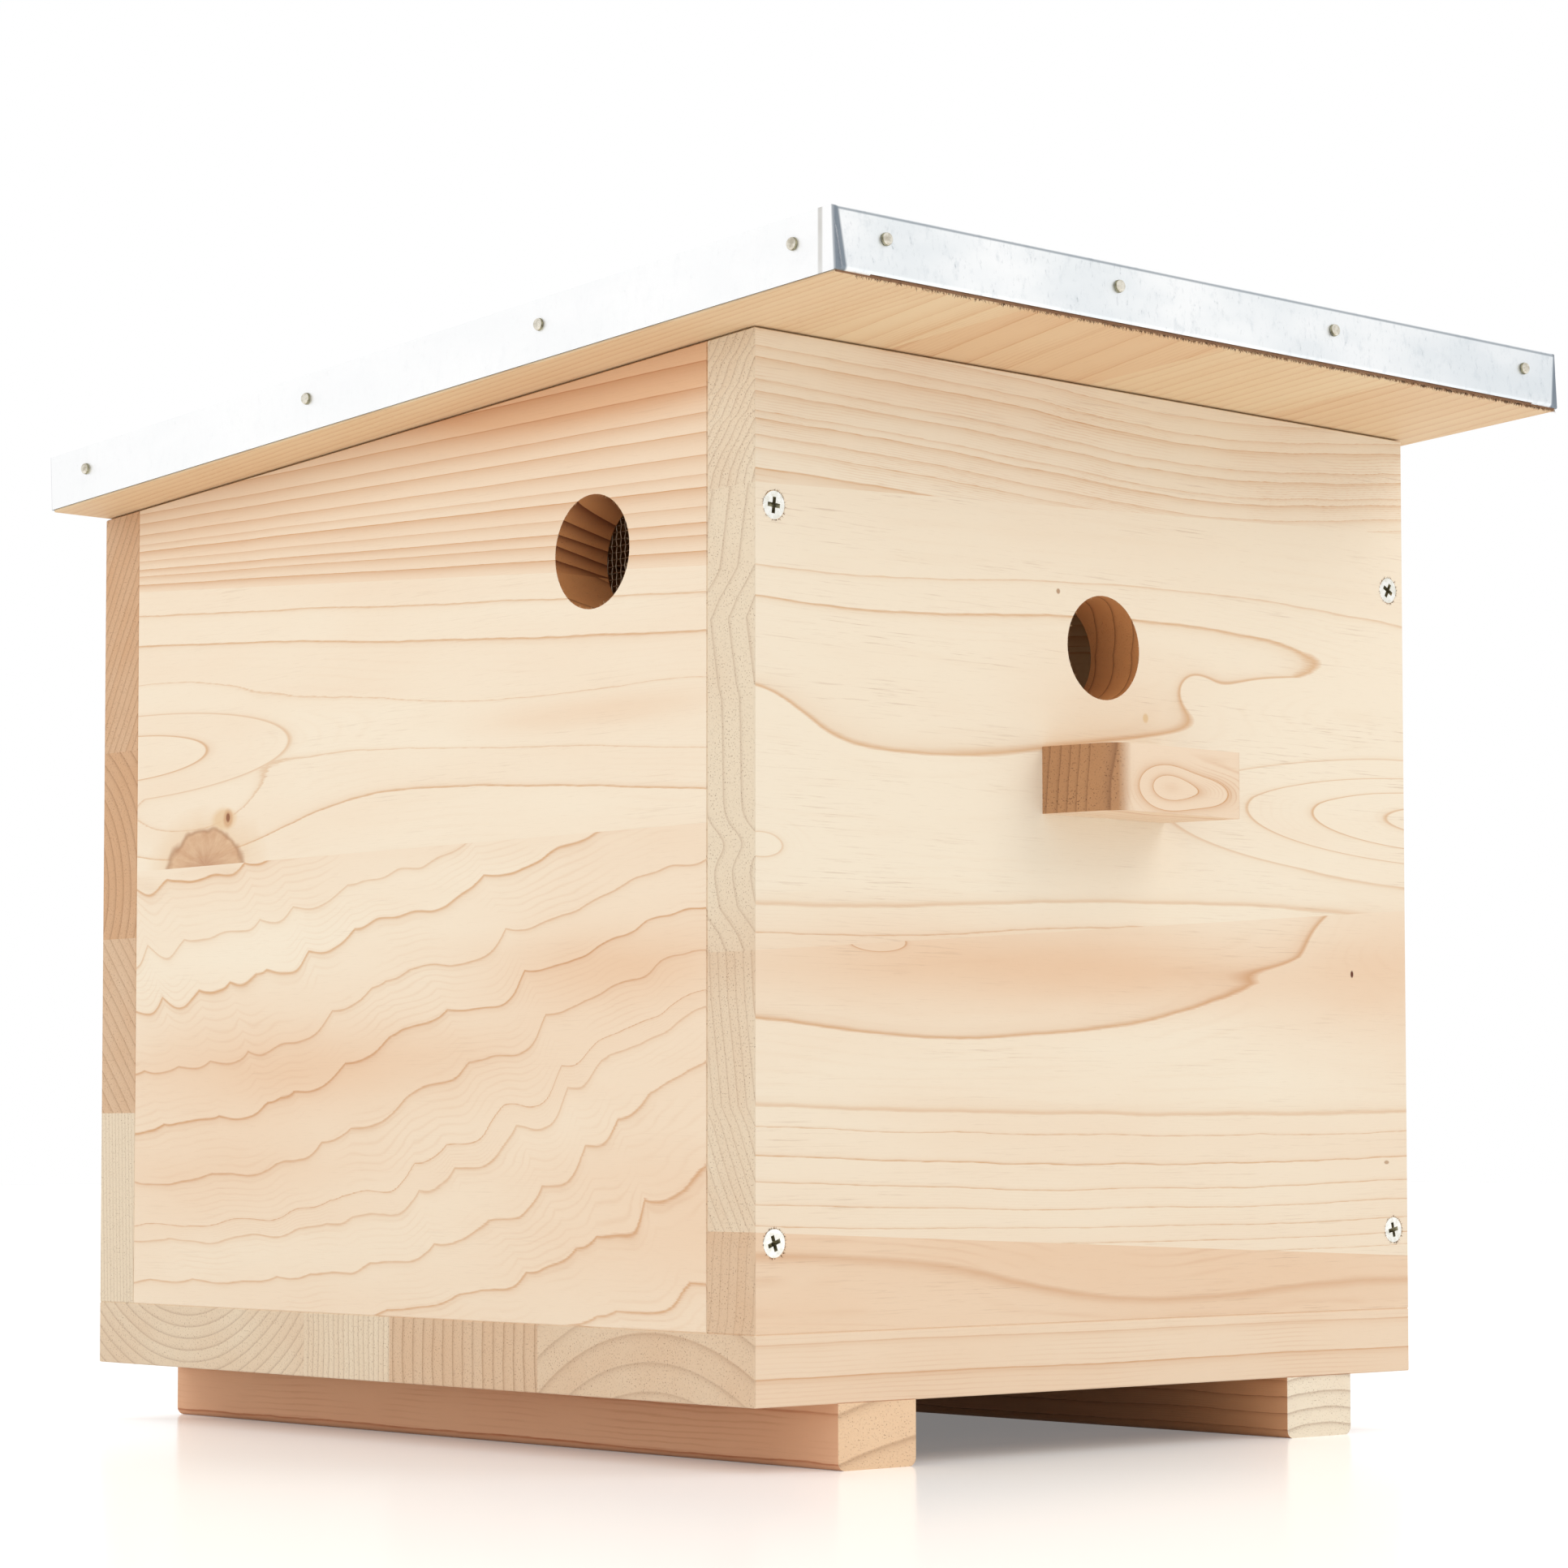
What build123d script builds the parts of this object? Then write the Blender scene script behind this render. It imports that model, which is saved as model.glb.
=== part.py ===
from build123d import *
from math import atan2, cos, degrees, radians, sin, tan
import os

os.makedirs("parts", exist_ok=True)

# A wooden nest box for bumblebees, in millimetres. +Z is up and the front panel faces -Y.
# The origin is at the middle of the ground that the whole box covers.

# Box: the four walls on their floor board
box_width = 270.0
box_depth = 310.0
front_height = 286.0  # underside of the floor board to the top of the front panel
roof_fall = 17.0  # how much lower the back panel ends
board_thickness = 19.0
edge_easing = 0.3  # small chamfer that a sanded edge has

# Entrance and landing block
entrance_diameter = 30.0
entrance_height = 211.0  # its centre above the underside of the floor board
landing_width = 51.0
landing_depth = 25.0
landing_skew = 5.0  # how far its front stands to the right of its back
landing_corner_radius = 8.0
landing_corner_easing = 1.0
landing_drop = 49.0  # from the entrance's centre down to the block's underside

# Vent holes, the wire mesh behind them and its staples
vent_diameter = 32.0
vent_setback = 67.0  # its centre behind the front panel's face
vent_height = 233.0  # its centre above the underside of the floor board
mesh_spacing = 3.2
mesh_thickness = 0.8
mesh_gap_count = 12
staple_crown = 10.0  # from the middle of one leg to the middle of the other
staple_wire = 0.9
staple_leg = 6.0
staple_gaps_in = 1.5  # its inner leg goes through the second row of gaps

# Runners under the floor board
runner_height = 18.0
runner_width = 29.0
left_runner_inset = 30.0
right_runner_inset = 28.0
runner_rounding = 2.5

# Roof: a board under a cap of galvanised sheet
roof_board_thickness = 17.0
roof_front_overhang = 54.0
roof_left_overhang = 21.0
roof_right_overhang = 8.0
roof_gap = 0.5  # between the walls' sawn tops and the roof board
sheet_thickness = 0.5
sheet_bend_radius = 1.4
lip_reveal = 0.6  # how much of the board's edge shows below the cap's lip
lap_length = 12.0  # of the tab that turns round each corner, under the front or back lip
lap_slant = 2.4  # how far the lip's end runs back from the corner on its way down
board_corner_radius = 1.0

# Round-headed nails through the lips
nail_radius = 0.9
nail_length = 14.0  # short enough to pass each other near the corners
nail_head_radius = 1.75
nail_head_height = 1.3
nail_head_easing = 0.4
front_nail_shares = (0.06, 0.352, 0.652, 0.945)  # of the roof's width, from the left
side_nail_shares = (0.043, 0.324, 0.62, 0.942)  # of the roof's length, from the front
back_nail_shares = (0.06, 0.5, 0.94)  # of the roof's width, from the left
nail_height_share = 0.59  # of the roof's thickness

# Countersunk screws with a cross recess
screw_clearance = 0.1  # all round a screw in its hole
recess_reach_share = 0.54  # of the head's radius
recess_depth_share = 0.8  # of the head's own depth
recess_slot_share = 0.26  # of the head's radius
wall_screw_radius = 2.0
wall_screw_head_radius = 3.9
wall_screw_length = 40.0
wall_screw_inset = 7.0  # from the box's side to the screw
low_screw_height = 43.0  # above the underside of the floor board
high_screw_drop = 47.0  # below the top of its panel
floor_screw_spacing = 200.0  # between the two under each side panel
runner_screw_length = 30.0
runner_screw_spacing = 220.0
landing_screw_spacing = 26.0
head_recess = 0.2  # of the heads under the floor, below the wood

# Butt hinges at the back
hinge_length = 40.0
hinge_inset = 50.0  # from the box's side to the middle of a hinge
leaf_width = 15.5  # from the pin's axis to the leaf's edge
leaf_thickness = 1.2
barrel_radius = 3.0
barrel_clearance = 0.2
knuckle_count = 5
knuckle_gap = 0.3
pin_radius = 1.5
pin_clearance = 0.05
pin_head_radius = 2.3
pin_head_height = 1.0
hinge_screw_radius = 1.5
hinge_screw_head_radius = 2.7
hinge_screw_length = 14.0
hinge_screw_spacing = 24.0
hinge_screw_share = 0.6  # of the leaf's width, from the pin

cut_overrun = 5.0

# Heights and slope
floor_bottom = runner_height
floor_top = floor_bottom + board_thickness
front_top = floor_bottom + front_height
back_top = front_top - roof_fall
roof_angle = degrees(atan2(roof_fall, box_depth))
roof_run = cos(radians(roof_angle))
roof_rise = sin(radians(roof_angle))

# Roof and hinge places, from which the box's own place follows
roof_width = box_width + roof_left_overhang + roof_right_overhang
roof_length = (box_depth + roof_front_overhang) / roof_run
roof_thickness = roof_board_thickness + sheet_thickness
nail_height = roof_thickness * nail_height_share
pin_offset = barrel_radius + barrel_clearance
nail_reach = (roof_length + pin_offset + nail_head_height) * roof_run
nail_reach -= (roof_gap + nail_height - nail_head_radius) * roof_rise
pin_y = (nail_reach - barrel_radius) / 2
back_y = pin_y - pin_offset
front_y = back_y - box_depth
pin_z = back_top - pin_offset * tan(radians(roof_angle / 2))
box_x = (roof_left_overhang - roof_right_overhang) / 2
box_left = box_x - box_width / 2
box_right = box_x + box_width / 2

# Faces that the small pieces are set out on: local x runs along the face, local y is up
front_face = Plane(origin=(box_x, front_y, 0), x_dir=(1, 0, 0), z_dir=(0, -1, 0))
back_face = Plane(origin=(box_x, back_y, 0), x_dir=(-1, 0, 0), z_dir=(0, 1, 0))
front_inside = Plane(
    origin=(box_x, front_y + board_thickness, 0), x_dir=(-1, 0, 0), z_dir=(0, 1, 0)
)
floor_underside = Plane(origin=(box_x, 0, floor_bottom), x_dir=(1, 0, 0), z_dir=(0, 0, -1))
roof_plane = Plane(
    origin=(0, back_y, back_top), x_dir=(1, 0, 0), z_dir=(0, roof_rise, roof_run)
)
roof_bottom_plane = roof_plane.offset(roof_gap)
roof_upright = Axis(roof_plane.origin, roof_plane.z_dir)


def wall_top(y):
    """Height of the walls' sawn tops at a given depth."""
    return back_top + (back_y - y) * tan(radians(roof_angle))


def wall_outline(near_y, far_y):
    """Corners of a wall seen from the side, between two depths."""
    return [
        (near_y, floor_top),
        (far_y, floor_top),
        (far_y, wall_top(far_y)),
        (near_y, wall_top(near_y)),
    ]


def countersunk_screw(radius, head_radius, length):
    """A wood screw that points down from the XY plane, its flat head level with it."""
    cone = head_radius - radius
    with BuildPart() as screw:
        with BuildSketch(Plane.XZ):
            with BuildLine():
                Polyline(
                    (0, 0),
                    (head_radius, 0),
                    (radius, -cone),
                    (radius, -(length - 2 * radius)),
                    (0, -length),
                    close=True,
                )
            make_face()
        revolve(axis=Axis.Z)
        slot_length = 2 * head_radius * recess_reach_share
        slot_width = head_radius * recess_slot_share
        with BuildSketch(Plane.XY):
            Rectangle(slot_length, slot_width)
            Rectangle(slot_width, slot_length)
        extrude(amount=-cone * recess_depth_share, mode=Mode.SUBTRACT)
    return screw.part


def screw_hole(radius, head_radius, depth):
    """The hole that such a screw sits in, with its countersink, as a solid to cut away."""
    wide = radius + screw_clearance
    cone = head_radius - radius
    with BuildPart() as hole:
        with BuildSketch(Plane.XZ):
            with BuildLine():
                Polyline(
                    (0, cut_overrun),
                    (head_radius + screw_clearance, cut_overrun),
                    (head_radius + screw_clearance, 0),
                    (wide, -cone),
                    (wide, -(depth + screw_clearance)),
                    (0, -(depth + screw_clearance)),
                    close=True,
                )
            make_face()
        revolve(axis=Axis.Z)
    return hole.part


wall_screw = countersunk_screw(wall_screw_radius, wall_screw_head_radius, wall_screw_length)
wall_screw_hole = screw_hole(wall_screw_radius, wall_screw_head_radius, wall_screw_length)
runner_screw = countersunk_screw(
    wall_screw_radius, wall_screw_head_radius, runner_screw_length
)
runner_screw_hole = screw_hole(
    wall_screw_radius, wall_screw_head_radius, runner_screw_length
)
hinge_screw = countersunk_screw(
    hinge_screw_radius, hinge_screw_head_radius, hinge_screw_length
)
hinge_screw_hole = screw_hole(
    hinge_screw_radius, hinge_screw_head_radius, hinge_screw_length
)

# Screw places, each with its Z axis out of the face that the head is in
corner_screw_x = box_width / 2 - wall_screw_inset
low_screw_z = floor_bottom + low_screw_height
front_screw_places = [
    front_face * Pos(side * corner_screw_x, height)
    for side in (-1, 1)
    for height in (low_screw_z, front_top - high_screw_drop)
]
back_screw_places = [
    back_face * Pos(side * corner_screw_x, height)
    for side in (-1, 1)
    for height in (low_screw_z, back_top - high_screw_drop)
]
floor_head_plane = floor_underside.offset(-head_recess)
box_middle_y = (front_y + back_y) / 2
wall_middle = (box_width - board_thickness) / 2
floor_screw_places = [
    floor_head_plane * Pos(side * wall_middle, -box_middle_y + end * floor_screw_spacing / 2)
    for side in (-1, 1)
    for end in (-1, 1)
]
left_runner_x = box_left + left_runner_inset + runner_width / 2
right_runner_x = box_right - right_runner_inset - runner_width / 2
runner_head_plane = Plane.XY.offset(head_recess)
runner_screw_places = [
    runner_head_plane
    * Pos(runner_x, box_middle_y + end * runner_screw_spacing / 2)
    * Rot(X=180)
    for runner_x in (left_runner_x, right_runner_x)
    for end in (-1, 1)
]
landing_z = floor_bottom + entrance_height - landing_drop
landing_screw_places = [
    front_inside * Pos(side * landing_screw_spacing / 2, landing_z + board_thickness / 2)
    for side in (-1, 1)
]

# Hinge places, and the leaves' own planes through the pin's axis
hinge_places = {
    "left": box_left + hinge_inset,
    "right": box_right - hinge_inset,
}


def lower_leaf_plane(hinge_x):
    """Plane through the pin's axis for the leaf on the back panel; local y points down."""
    return Plane(origin=(hinge_x, pin_y, pin_z), x_dir=(1, 0, 0), z_dir=(0, 1, 0))


def upper_leaf_plane(hinge_x):
    """Plane through the pin's axis for the leaf on the roof's edge; local y points up."""
    return Plane(
        origin=(hinge_x, pin_y, pin_z), x_dir=(-1, 0, 0), z_dir=(0, roof_run, -roof_rise)
    )


leaf_face = leaf_thickness - pin_offset  # of a leaf, measured outwards from the pin's axis


def leaf_screw_places(leaf_plane):
    """Where the two screws of one leaf have their heads."""
    return [
        leaf_plane * Pos(side * hinge_screw_spacing / 2, leaf_width * hinge_screw_share, leaf_face)
        for side in (-1, 1)
    ]


lower_screw_places = [
    place for x in hinge_places.values() for place in leaf_screw_places(lower_leaf_plane(x))
]
upper_screw_places = [
    place for x in hinge_places.values() for place in leaf_screw_places(upper_leaf_plane(x))
]

# Floor board
with BuildPart() as floor_board:
    with BuildSketch(Plane.XY.offset(floor_bottom)):
        with Locations((box_x, box_middle_y)):
            Rectangle(box_width, box_depth)
    extrude(amount=board_thickness)
    chamfer(floor_board.edges(), length=edge_easing)
    with Locations(*floor_screw_places):
        add(wall_screw_hole, mode=Mode.SUBTRACT)
    with Locations(*runner_screw_places):
        add(runner_screw_hole, mode=Mode.SUBTRACT)
floor_board.part.label = "floor_board"
export_step(floor_board.part, "parts/floor_board.step")

# Front panel, with the entrance
with BuildPart() as front_panel:
    with BuildSketch(Plane.YZ.offset(box_left)):
        Polygon(*wall_outline(front_y, front_y + board_thickness), align=None)
    extrude(amount=box_width)
    chamfer(front_panel.edges(), length=edge_easing)
    with Locations(front_face * Pos(0, floor_bottom + entrance_height)):
        Hole(radius=entrance_diameter / 2, depth=board_thickness)
    with Locations(*front_screw_places, *landing_screw_places):
        add(wall_screw_hole, mode=Mode.SUBTRACT)
front_panel.part.label = "front_panel"
export_step(front_panel.part, "parts/front_panel.step")

# Back panel
with BuildPart() as back_panel:
    with BuildSketch(Plane.YZ.offset(box_left)):
        Polygon(*wall_outline(back_y - board_thickness, back_y), align=None)
    extrude(amount=box_width)
    chamfer(back_panel.edges(), length=edge_easing)
    with Locations(*back_screw_places):
        add(wall_screw_hole, mode=Mode.SUBTRACT)
    with Locations(*lower_screw_places):
        add(hinge_screw_hole, mode=Mode.SUBTRACT)
back_panel.part.label = "back_panel"
export_step(back_panel.part, "parts/back_panel.step")

# Side panels, each with its vent hole
side_near_y = front_y + board_thickness
side_far_y = back_y - board_thickness
vent_y = front_y + vent_setback
vent_z = floor_bottom + vent_height


def side_panel(panel_left, outer_face):
    """A side wall between the front and back panels, drilled for its vent and screws."""
    with BuildPart() as panel:
        with BuildSketch(Plane.YZ.offset(panel_left)):
            Polygon(*wall_outline(side_near_y, side_far_y), align=None)
        extrude(amount=board_thickness)
        chamfer(panel.edges(), length=edge_easing)
        with Locations(outer_face):
            Hole(radius=vent_diameter / 2, depth=board_thickness)
        with Locations(*front_screw_places, *back_screw_places, *floor_screw_places):
            add(wall_screw_hole, mode=Mode.SUBTRACT)
    return panel.part


left_vent_face = Plane(origin=(box_left, vent_y, vent_z), x_dir=(0, -1, 0), z_dir=(-1, 0, 0))
right_vent_face = Plane(origin=(box_right, vent_y, vent_z), x_dir=(0, 1, 0), z_dir=(1, 0, 0))

left_side_panel = side_panel(box_left, left_vent_face)
left_side_panel.label = "left_side_panel"
export_step(left_side_panel, "parts/left_side_panel.step")

right_side_panel = side_panel(box_right - board_thickness, right_vent_face)
right_side_panel.label = "right_side_panel"
export_step(right_side_panel, "parts/right_side_panel.step")

# Wire mesh on the inner face, a flat net of square gaps, with its staples.
# Both are set out on the plane of the inner face, whose local z points into the box.
mesh_gap = mesh_spacing - mesh_thickness
mesh_size = mesh_gap_count * mesh_spacing + mesh_thickness


def vent_mesh(inner_face):
    """A square of wire net that lies on the inner face, centred on the vent hole."""
    with BuildPart() as net:
        with BuildSketch(inner_face):
            Rectangle(mesh_size, mesh_size)
            with GridLocations(mesh_spacing, mesh_spacing, mesh_gap_count, mesh_gap_count):
                Rectangle(mesh_gap, mesh_gap, mode=Mode.SUBTRACT)
        extrude(amount=mesh_thickness)
    return net.part


def staple():
    """One staple in the XZ plane: its crown spans local x, its legs point down."""
    reach = staple_crown / 2 + staple_wire / 2
    with BuildPart() as bent_wire:
        with BuildSketch(Plane.XZ.offset(-staple_wire / 2)):
            with BuildLine():
                Polyline(
                    (-reach, -staple_leg),
                    (-reach, staple_wire),
                    (reach, staple_wire),
                    (reach, -staple_leg),
                    (reach - staple_wire, -staple_leg),
                    (reach - staple_wire, 0),
                    (-reach + staple_wire, 0),
                    (-reach + staple_wire, -staple_leg),
                    close=True,
                )
            make_face()
        extrude(amount=staple_wire)
    return bent_wire.part


one_staple = staple()
staple_column = (mesh_gap_count / 2 - staple_gaps_in) * mesh_spacing
inner_leg = mesh_size / 2 - staple_gaps_in * mesh_spacing - mesh_thickness / 2
staple_middle = inner_leg + staple_crown / 2


def vent_staples(inner_face):
    """Four staples over the top and bottom edges of one mesh."""
    with BuildPart() as staples:
        for column in (-staple_column, staple_column):
            for edge in (-1, 1):
                with Locations(
                    inner_face * Pos(column, edge * staple_middle, mesh_thickness) * Rot(Z=90)
                ):
                    add(one_staple)
    return staples.part


left_inside = Plane(
    origin=(box_left + board_thickness, vent_y, vent_z), x_dir=(0, 1, 0), z_dir=(1, 0, 0)
)
right_inside = Plane(
    origin=(box_right - board_thickness, vent_y, vent_z), x_dir=(0, -1, 0), z_dir=(-1, 0, 0)
)

left_vent_mesh = vent_mesh(left_inside)
left_vent_mesh.label = "left_vent_mesh"
export_step(left_vent_mesh, "parts/left_vent_mesh.step")

right_vent_mesh = vent_mesh(right_inside)
right_vent_mesh.label = "right_vent_mesh"
export_step(right_vent_mesh, "parts/right_vent_mesh.step")

left_vent_staples = vent_staples(left_inside)
left_vent_staples.label = "left_vent_staples"
export_step(left_vent_staples, "parts/left_vent_staples.step")

right_vent_staples = vent_staples(right_inside)
right_vent_staples.label = "right_vent_staples"
export_step(right_vent_staples, "parts/right_vent_staples.step")


def runner(runner_x):
    """A batten along the box's depth, with its lower long edges rounded."""
    with BuildPart() as batten:
        with BuildSketch(Plane.XY):
            with Locations((runner_x, box_middle_y)):
                Rectangle(runner_width, box_depth)
        extrude(amount=runner_height)
        long_edges = batten.edges().filter_by(Axis.Y)
        fillet(long_edges.group_by(Axis.Z)[0], radius=runner_rounding)
        with Locations(*runner_screw_places):
            add(runner_screw_hole, mode=Mode.SUBTRACT)
    return batten.part


left_runner = runner(left_runner_x)
left_runner.label = "left_runner"
export_step(left_runner, "parts/left_runner.step")

right_runner = runner(right_runner_x)
right_runner.label = "right_runner"
export_step(right_runner, "parts/right_runner.step")

# Landing block: an offcut of the same board, cut askew, its left front corner rounded off
with BuildPart() as landing_block:
    with BuildSketch(Plane.XY.offset(landing_z)):
        with BuildLine():
            Polyline(
                (box_x - landing_width / 2, front_y),
                (box_x + landing_width / 2, front_y),
                (box_x + landing_width / 2 + landing_skew, front_y - landing_depth),
                (box_x - landing_width / 2 + landing_skew, front_y - landing_depth),
                close=True,
            )
        make_face()
    extrude(amount=board_thickness)
    front_corners = landing_block.edges().filter_by(Axis.Z).group_by(Axis.Y)[0].sort_by(Axis.X)
    fillet(front_corners[0], radius=landing_corner_radius)
    fillet(front_corners[-1], radius=landing_corner_easing)
    with Locations(*landing_screw_places):
        add(wall_screw_hole, mode=Mode.SUBTRACT)
landing_block.part.label = "landing_block"
export_step(landing_block.part, "parts/landing_block.step")

# Screws, one node for each set
screw_sets = {
    "front_panel_screws": (wall_screw, front_screw_places),
    "back_panel_screws": (wall_screw, back_screw_places),
    "floor_board_screws": (wall_screw, floor_screw_places),
    "runner_screws": (runner_screw, runner_screw_places),
    "landing_block_screws": (wall_screw, landing_screw_places),
    "hinge_lower_screws": (hinge_screw, lower_screw_places),
    "hinge_upper_screws": (hinge_screw, upper_screw_places),
}
for set_name, (one_screw, places) in screw_sets.items():
    with BuildPart() as screws:
        with Locations(*places):
            add(one_screw)
    screws.part.label = set_name
    export_step(screws.part, f"parts/{set_name}.step")

# Roof board, inside the cap. The cap's tabs and lips lie double on its front and back ends.
board_length = roof_length - 4 * sheet_thickness
with BuildPart() as roof_board:
    with BuildSketch(roof_bottom_plane):
        with Locations((0, -roof_length / 2)):
            Rectangle(roof_width - 2 * sheet_thickness, board_length)
    extrude(amount=roof_board_thickness)
    upright_edges = roof_board.edges().filter_by(roof_upright)
    top_edges = roof_board.faces().sort_by(Axis.Z)[-1].edges()
    fillet(upright_edges + top_edges, radius=board_corner_radius)
    with Locations(*upper_screw_places):
        add(hinge_screw_hole, mode=Mode.SUBTRACT)
roof_board.part.label = "roof_board"
export_step(roof_board.part, "parts/roof_board.step")

# Roof sheet: a shallow cap with bent edges. Its side lips turn round each corner as a tab,
# and the front and back lips lap over those tabs and end in a slanted edge.
lip_height = roof_thickness - lip_reveal
lip_plane = roof_plane.offset(roof_gap + lip_reveal)
with BuildPart() as roof_sheet:
    with BuildSketch(lip_plane):
        with Locations((0, -roof_length / 2)):
            Rectangle(roof_width, roof_length)
    extrude(amount=lip_height)
    upright_edges = roof_sheet.edges().filter_by(roof_upright)
    top_edges = roof_sheet.faces().sort_by(Axis.Z)[-1].edges()
    fillet(upright_edges + top_edges, radius=sheet_bend_radius)

    # Room for the board
    with BuildSketch(lip_plane):
        with Locations((0, -roof_length / 2)):
            Rectangle(roof_width - 2 * sheet_thickness, board_length)
    extrude(amount=lip_height - sheet_thickness, mode=Mode.SUBTRACT)

    # Between its two tabs, a lip is one sheet thick
    with BuildSketch(lip_plane):
        with Locations((0, -roof_length / 2)):
            Rectangle(
                roof_width - 2 * (sheet_thickness + lap_length),
                roof_length - 2 * sheet_thickness,
            )
    extrude(amount=lip_height - sheet_thickness, mode=Mode.SUBTRACT)

    # The slanted ends of the front and back lips, where the tabs show
    for end in (-roof_length, -sheet_thickness):
        for side in (-1, 1):
            corner_x = side * roof_width / 2
            lap_origin = lip_plane * Pos(0, end, 0)
            with BuildSketch(
                Plane(
                    origin=lap_origin.position,
                    x_dir=(1, 0, 0),
                    z_dir=-lip_plane.y_dir,
                )
            ):
                with BuildLine():
                    Polyline(
                        (corner_x, 0),
                        (corner_x - side * lap_slant, 0),
                        (corner_x, lip_height - sheet_bend_radius),
                        close=True,
                    )
                make_face()
            extrude(amount=-sheet_thickness, mode=Mode.SUBTRACT)
    with Locations(*upper_screw_places):
        add(hinge_screw_hole, mode=Mode.SUBTRACT)
roof_sheet.part.label = "roof_sheet"
export_step(roof_sheet.part, "parts/roof_sheet.step")

# Roof nails
with BuildPart() as one_nail:
    with BuildSketch(Plane.XY):
        Circle(nail_head_radius)
    extrude(amount=nail_head_height)
    chamfer(one_nail.faces().sort_by(Axis.Z)[-1].edges(), length=nail_head_easing)
    with BuildSketch(Plane.XY):
        Circle(nail_radius)
    extrude(amount=-nail_length)

nail_z = roof_gap + nail_height
front_nail_places = [
    roof_plane * Pos(roof_width * (share - 0.5), -roof_length, nail_z) * Rot(X=90)
    for share in front_nail_shares
]
back_nail_places = [
    roof_plane * Pos(roof_width * (share - 0.5), 0, nail_z) * Rot(X=-90)
    for share in back_nail_shares
]
side_nail_places = [
    roof_plane
    * Pos(side * roof_width / 2, roof_length * (share - 1), nail_z)
    * Rot(Y=side * 90)
    for side in (-1, 1)
    for share in side_nail_shares
]
with BuildPart() as roof_nails:
    with Locations(*front_nail_places, *back_nail_places, *side_nail_places):
        add(one_nail.part)
roof_nails.part.label = "roof_nails"
export_step(roof_nails.part, "parts/roof_nails.step")

# Hinges: two leaves that share a barrel of knuckles round one pin
knuckle_length = (hinge_length - (knuckle_count - 1) * knuckle_gap) / knuckle_count
knuckle_step = knuckle_length + knuckle_gap


def hinge_leaf(leaf_plane, knuckles):
    """One leaf in its plane through the pin's axis, with the knuckles it owns."""
    barrel_plane = Plane(
        origin=leaf_plane.origin, x_dir=leaf_plane.y_dir, z_dir=leaf_plane.x_dir
    )
    with BuildPart() as leaf:
        with BuildSketch(leaf_plane.offset(-pin_offset)):
            with Locations((0, (leaf_width + pin_offset) / 2)):
                Rectangle(hinge_length, leaf_width - pin_offset)
            for knuckle in knuckles:
                middle = knuckle_step * (knuckle - (knuckle_count - 1) / 2)
                with Locations((middle, leaf_width / 4)):
                    Rectangle(knuckle_length, leaf_width / 2)
        extrude(amount=leaf_thickness)
        for knuckle in knuckles:
            start = knuckle_step * (knuckle - (knuckle_count - 1) / 2) - knuckle_length / 2
            with BuildSketch(barrel_plane.offset(start)):
                Circle(barrel_radius)
            extrude(amount=knuckle_length)
        with BuildSketch(barrel_plane.offset(-hinge_length / 2 - cut_overrun)):
            Circle(pin_radius + pin_clearance)
        extrude(amount=hinge_length + 2 * cut_overrun, mode=Mode.SUBTRACT)
        with Locations(*leaf_screw_places(leaf_plane)):
            add(hinge_screw_hole, mode=Mode.SUBTRACT)
    return leaf.part


def hinge_pin(hinge_x):
    """The pin through one barrel, headed at both ends."""
    with BuildPart() as pin:
        with BuildSketch(Plane(origin=(hinge_x, pin_y, pin_z), z_dir=(1, 0, 0))):
            Circle(pin_radius)
        extrude(amount=hinge_length / 2 + knuckle_gap, both=True)
        for side in (-1, 1):
            head_x = hinge_x + side * (hinge_length / 2 + knuckle_gap)
            with BuildSketch(Plane(origin=(head_x, pin_y, pin_z), z_dir=(side, 0, 0))):
                Circle(pin_head_radius)
            extrude(amount=pin_head_height)
    return pin.part


lower_knuckles = range(0, knuckle_count, 2)
upper_knuckles = range(1, knuckle_count, 2)
for side_name, hinge_x in hinge_places.items():
    lower_leaf = hinge_leaf(lower_leaf_plane(hinge_x), lower_knuckles)
    lower_leaf.label = f"{side_name}_hinge_lower_leaf"
    export_step(lower_leaf, f"parts/{side_name}_hinge_lower_leaf.step")

    upper_leaf = hinge_leaf(upper_leaf_plane(hinge_x), upper_knuckles)
    upper_leaf.label = f"{side_name}_hinge_upper_leaf"
    export_step(upper_leaf, f"parts/{side_name}_hinge_upper_leaf.step")

    pin = hinge_pin(hinge_x)
    pin.label = f"{side_name}_hinge_pin"
    export_step(pin, f"parts/{side_name}_hinge_pin.step")
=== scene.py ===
# %% [markdown]
# # A nest box for bumblebees
# The box is built of glued spruce boards under a roof that is covered with galvanised sheet.
# This lesson loads its solids as a fixed frame, sets up the camera, the floor and the light,
# and then gives every board, screw, nail, wire and sheet the finish of the real thing.
# Lengths in the scene are metres. Inside the wood's pattern they are millimetres, because
# growth rings are easier to think of that way.

# %% The frame
import random
from math import atan2, cos, pi, radians, sin, tan

import bmesh
import bpy
from mathutils import Euler, Matrix, Vector


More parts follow.
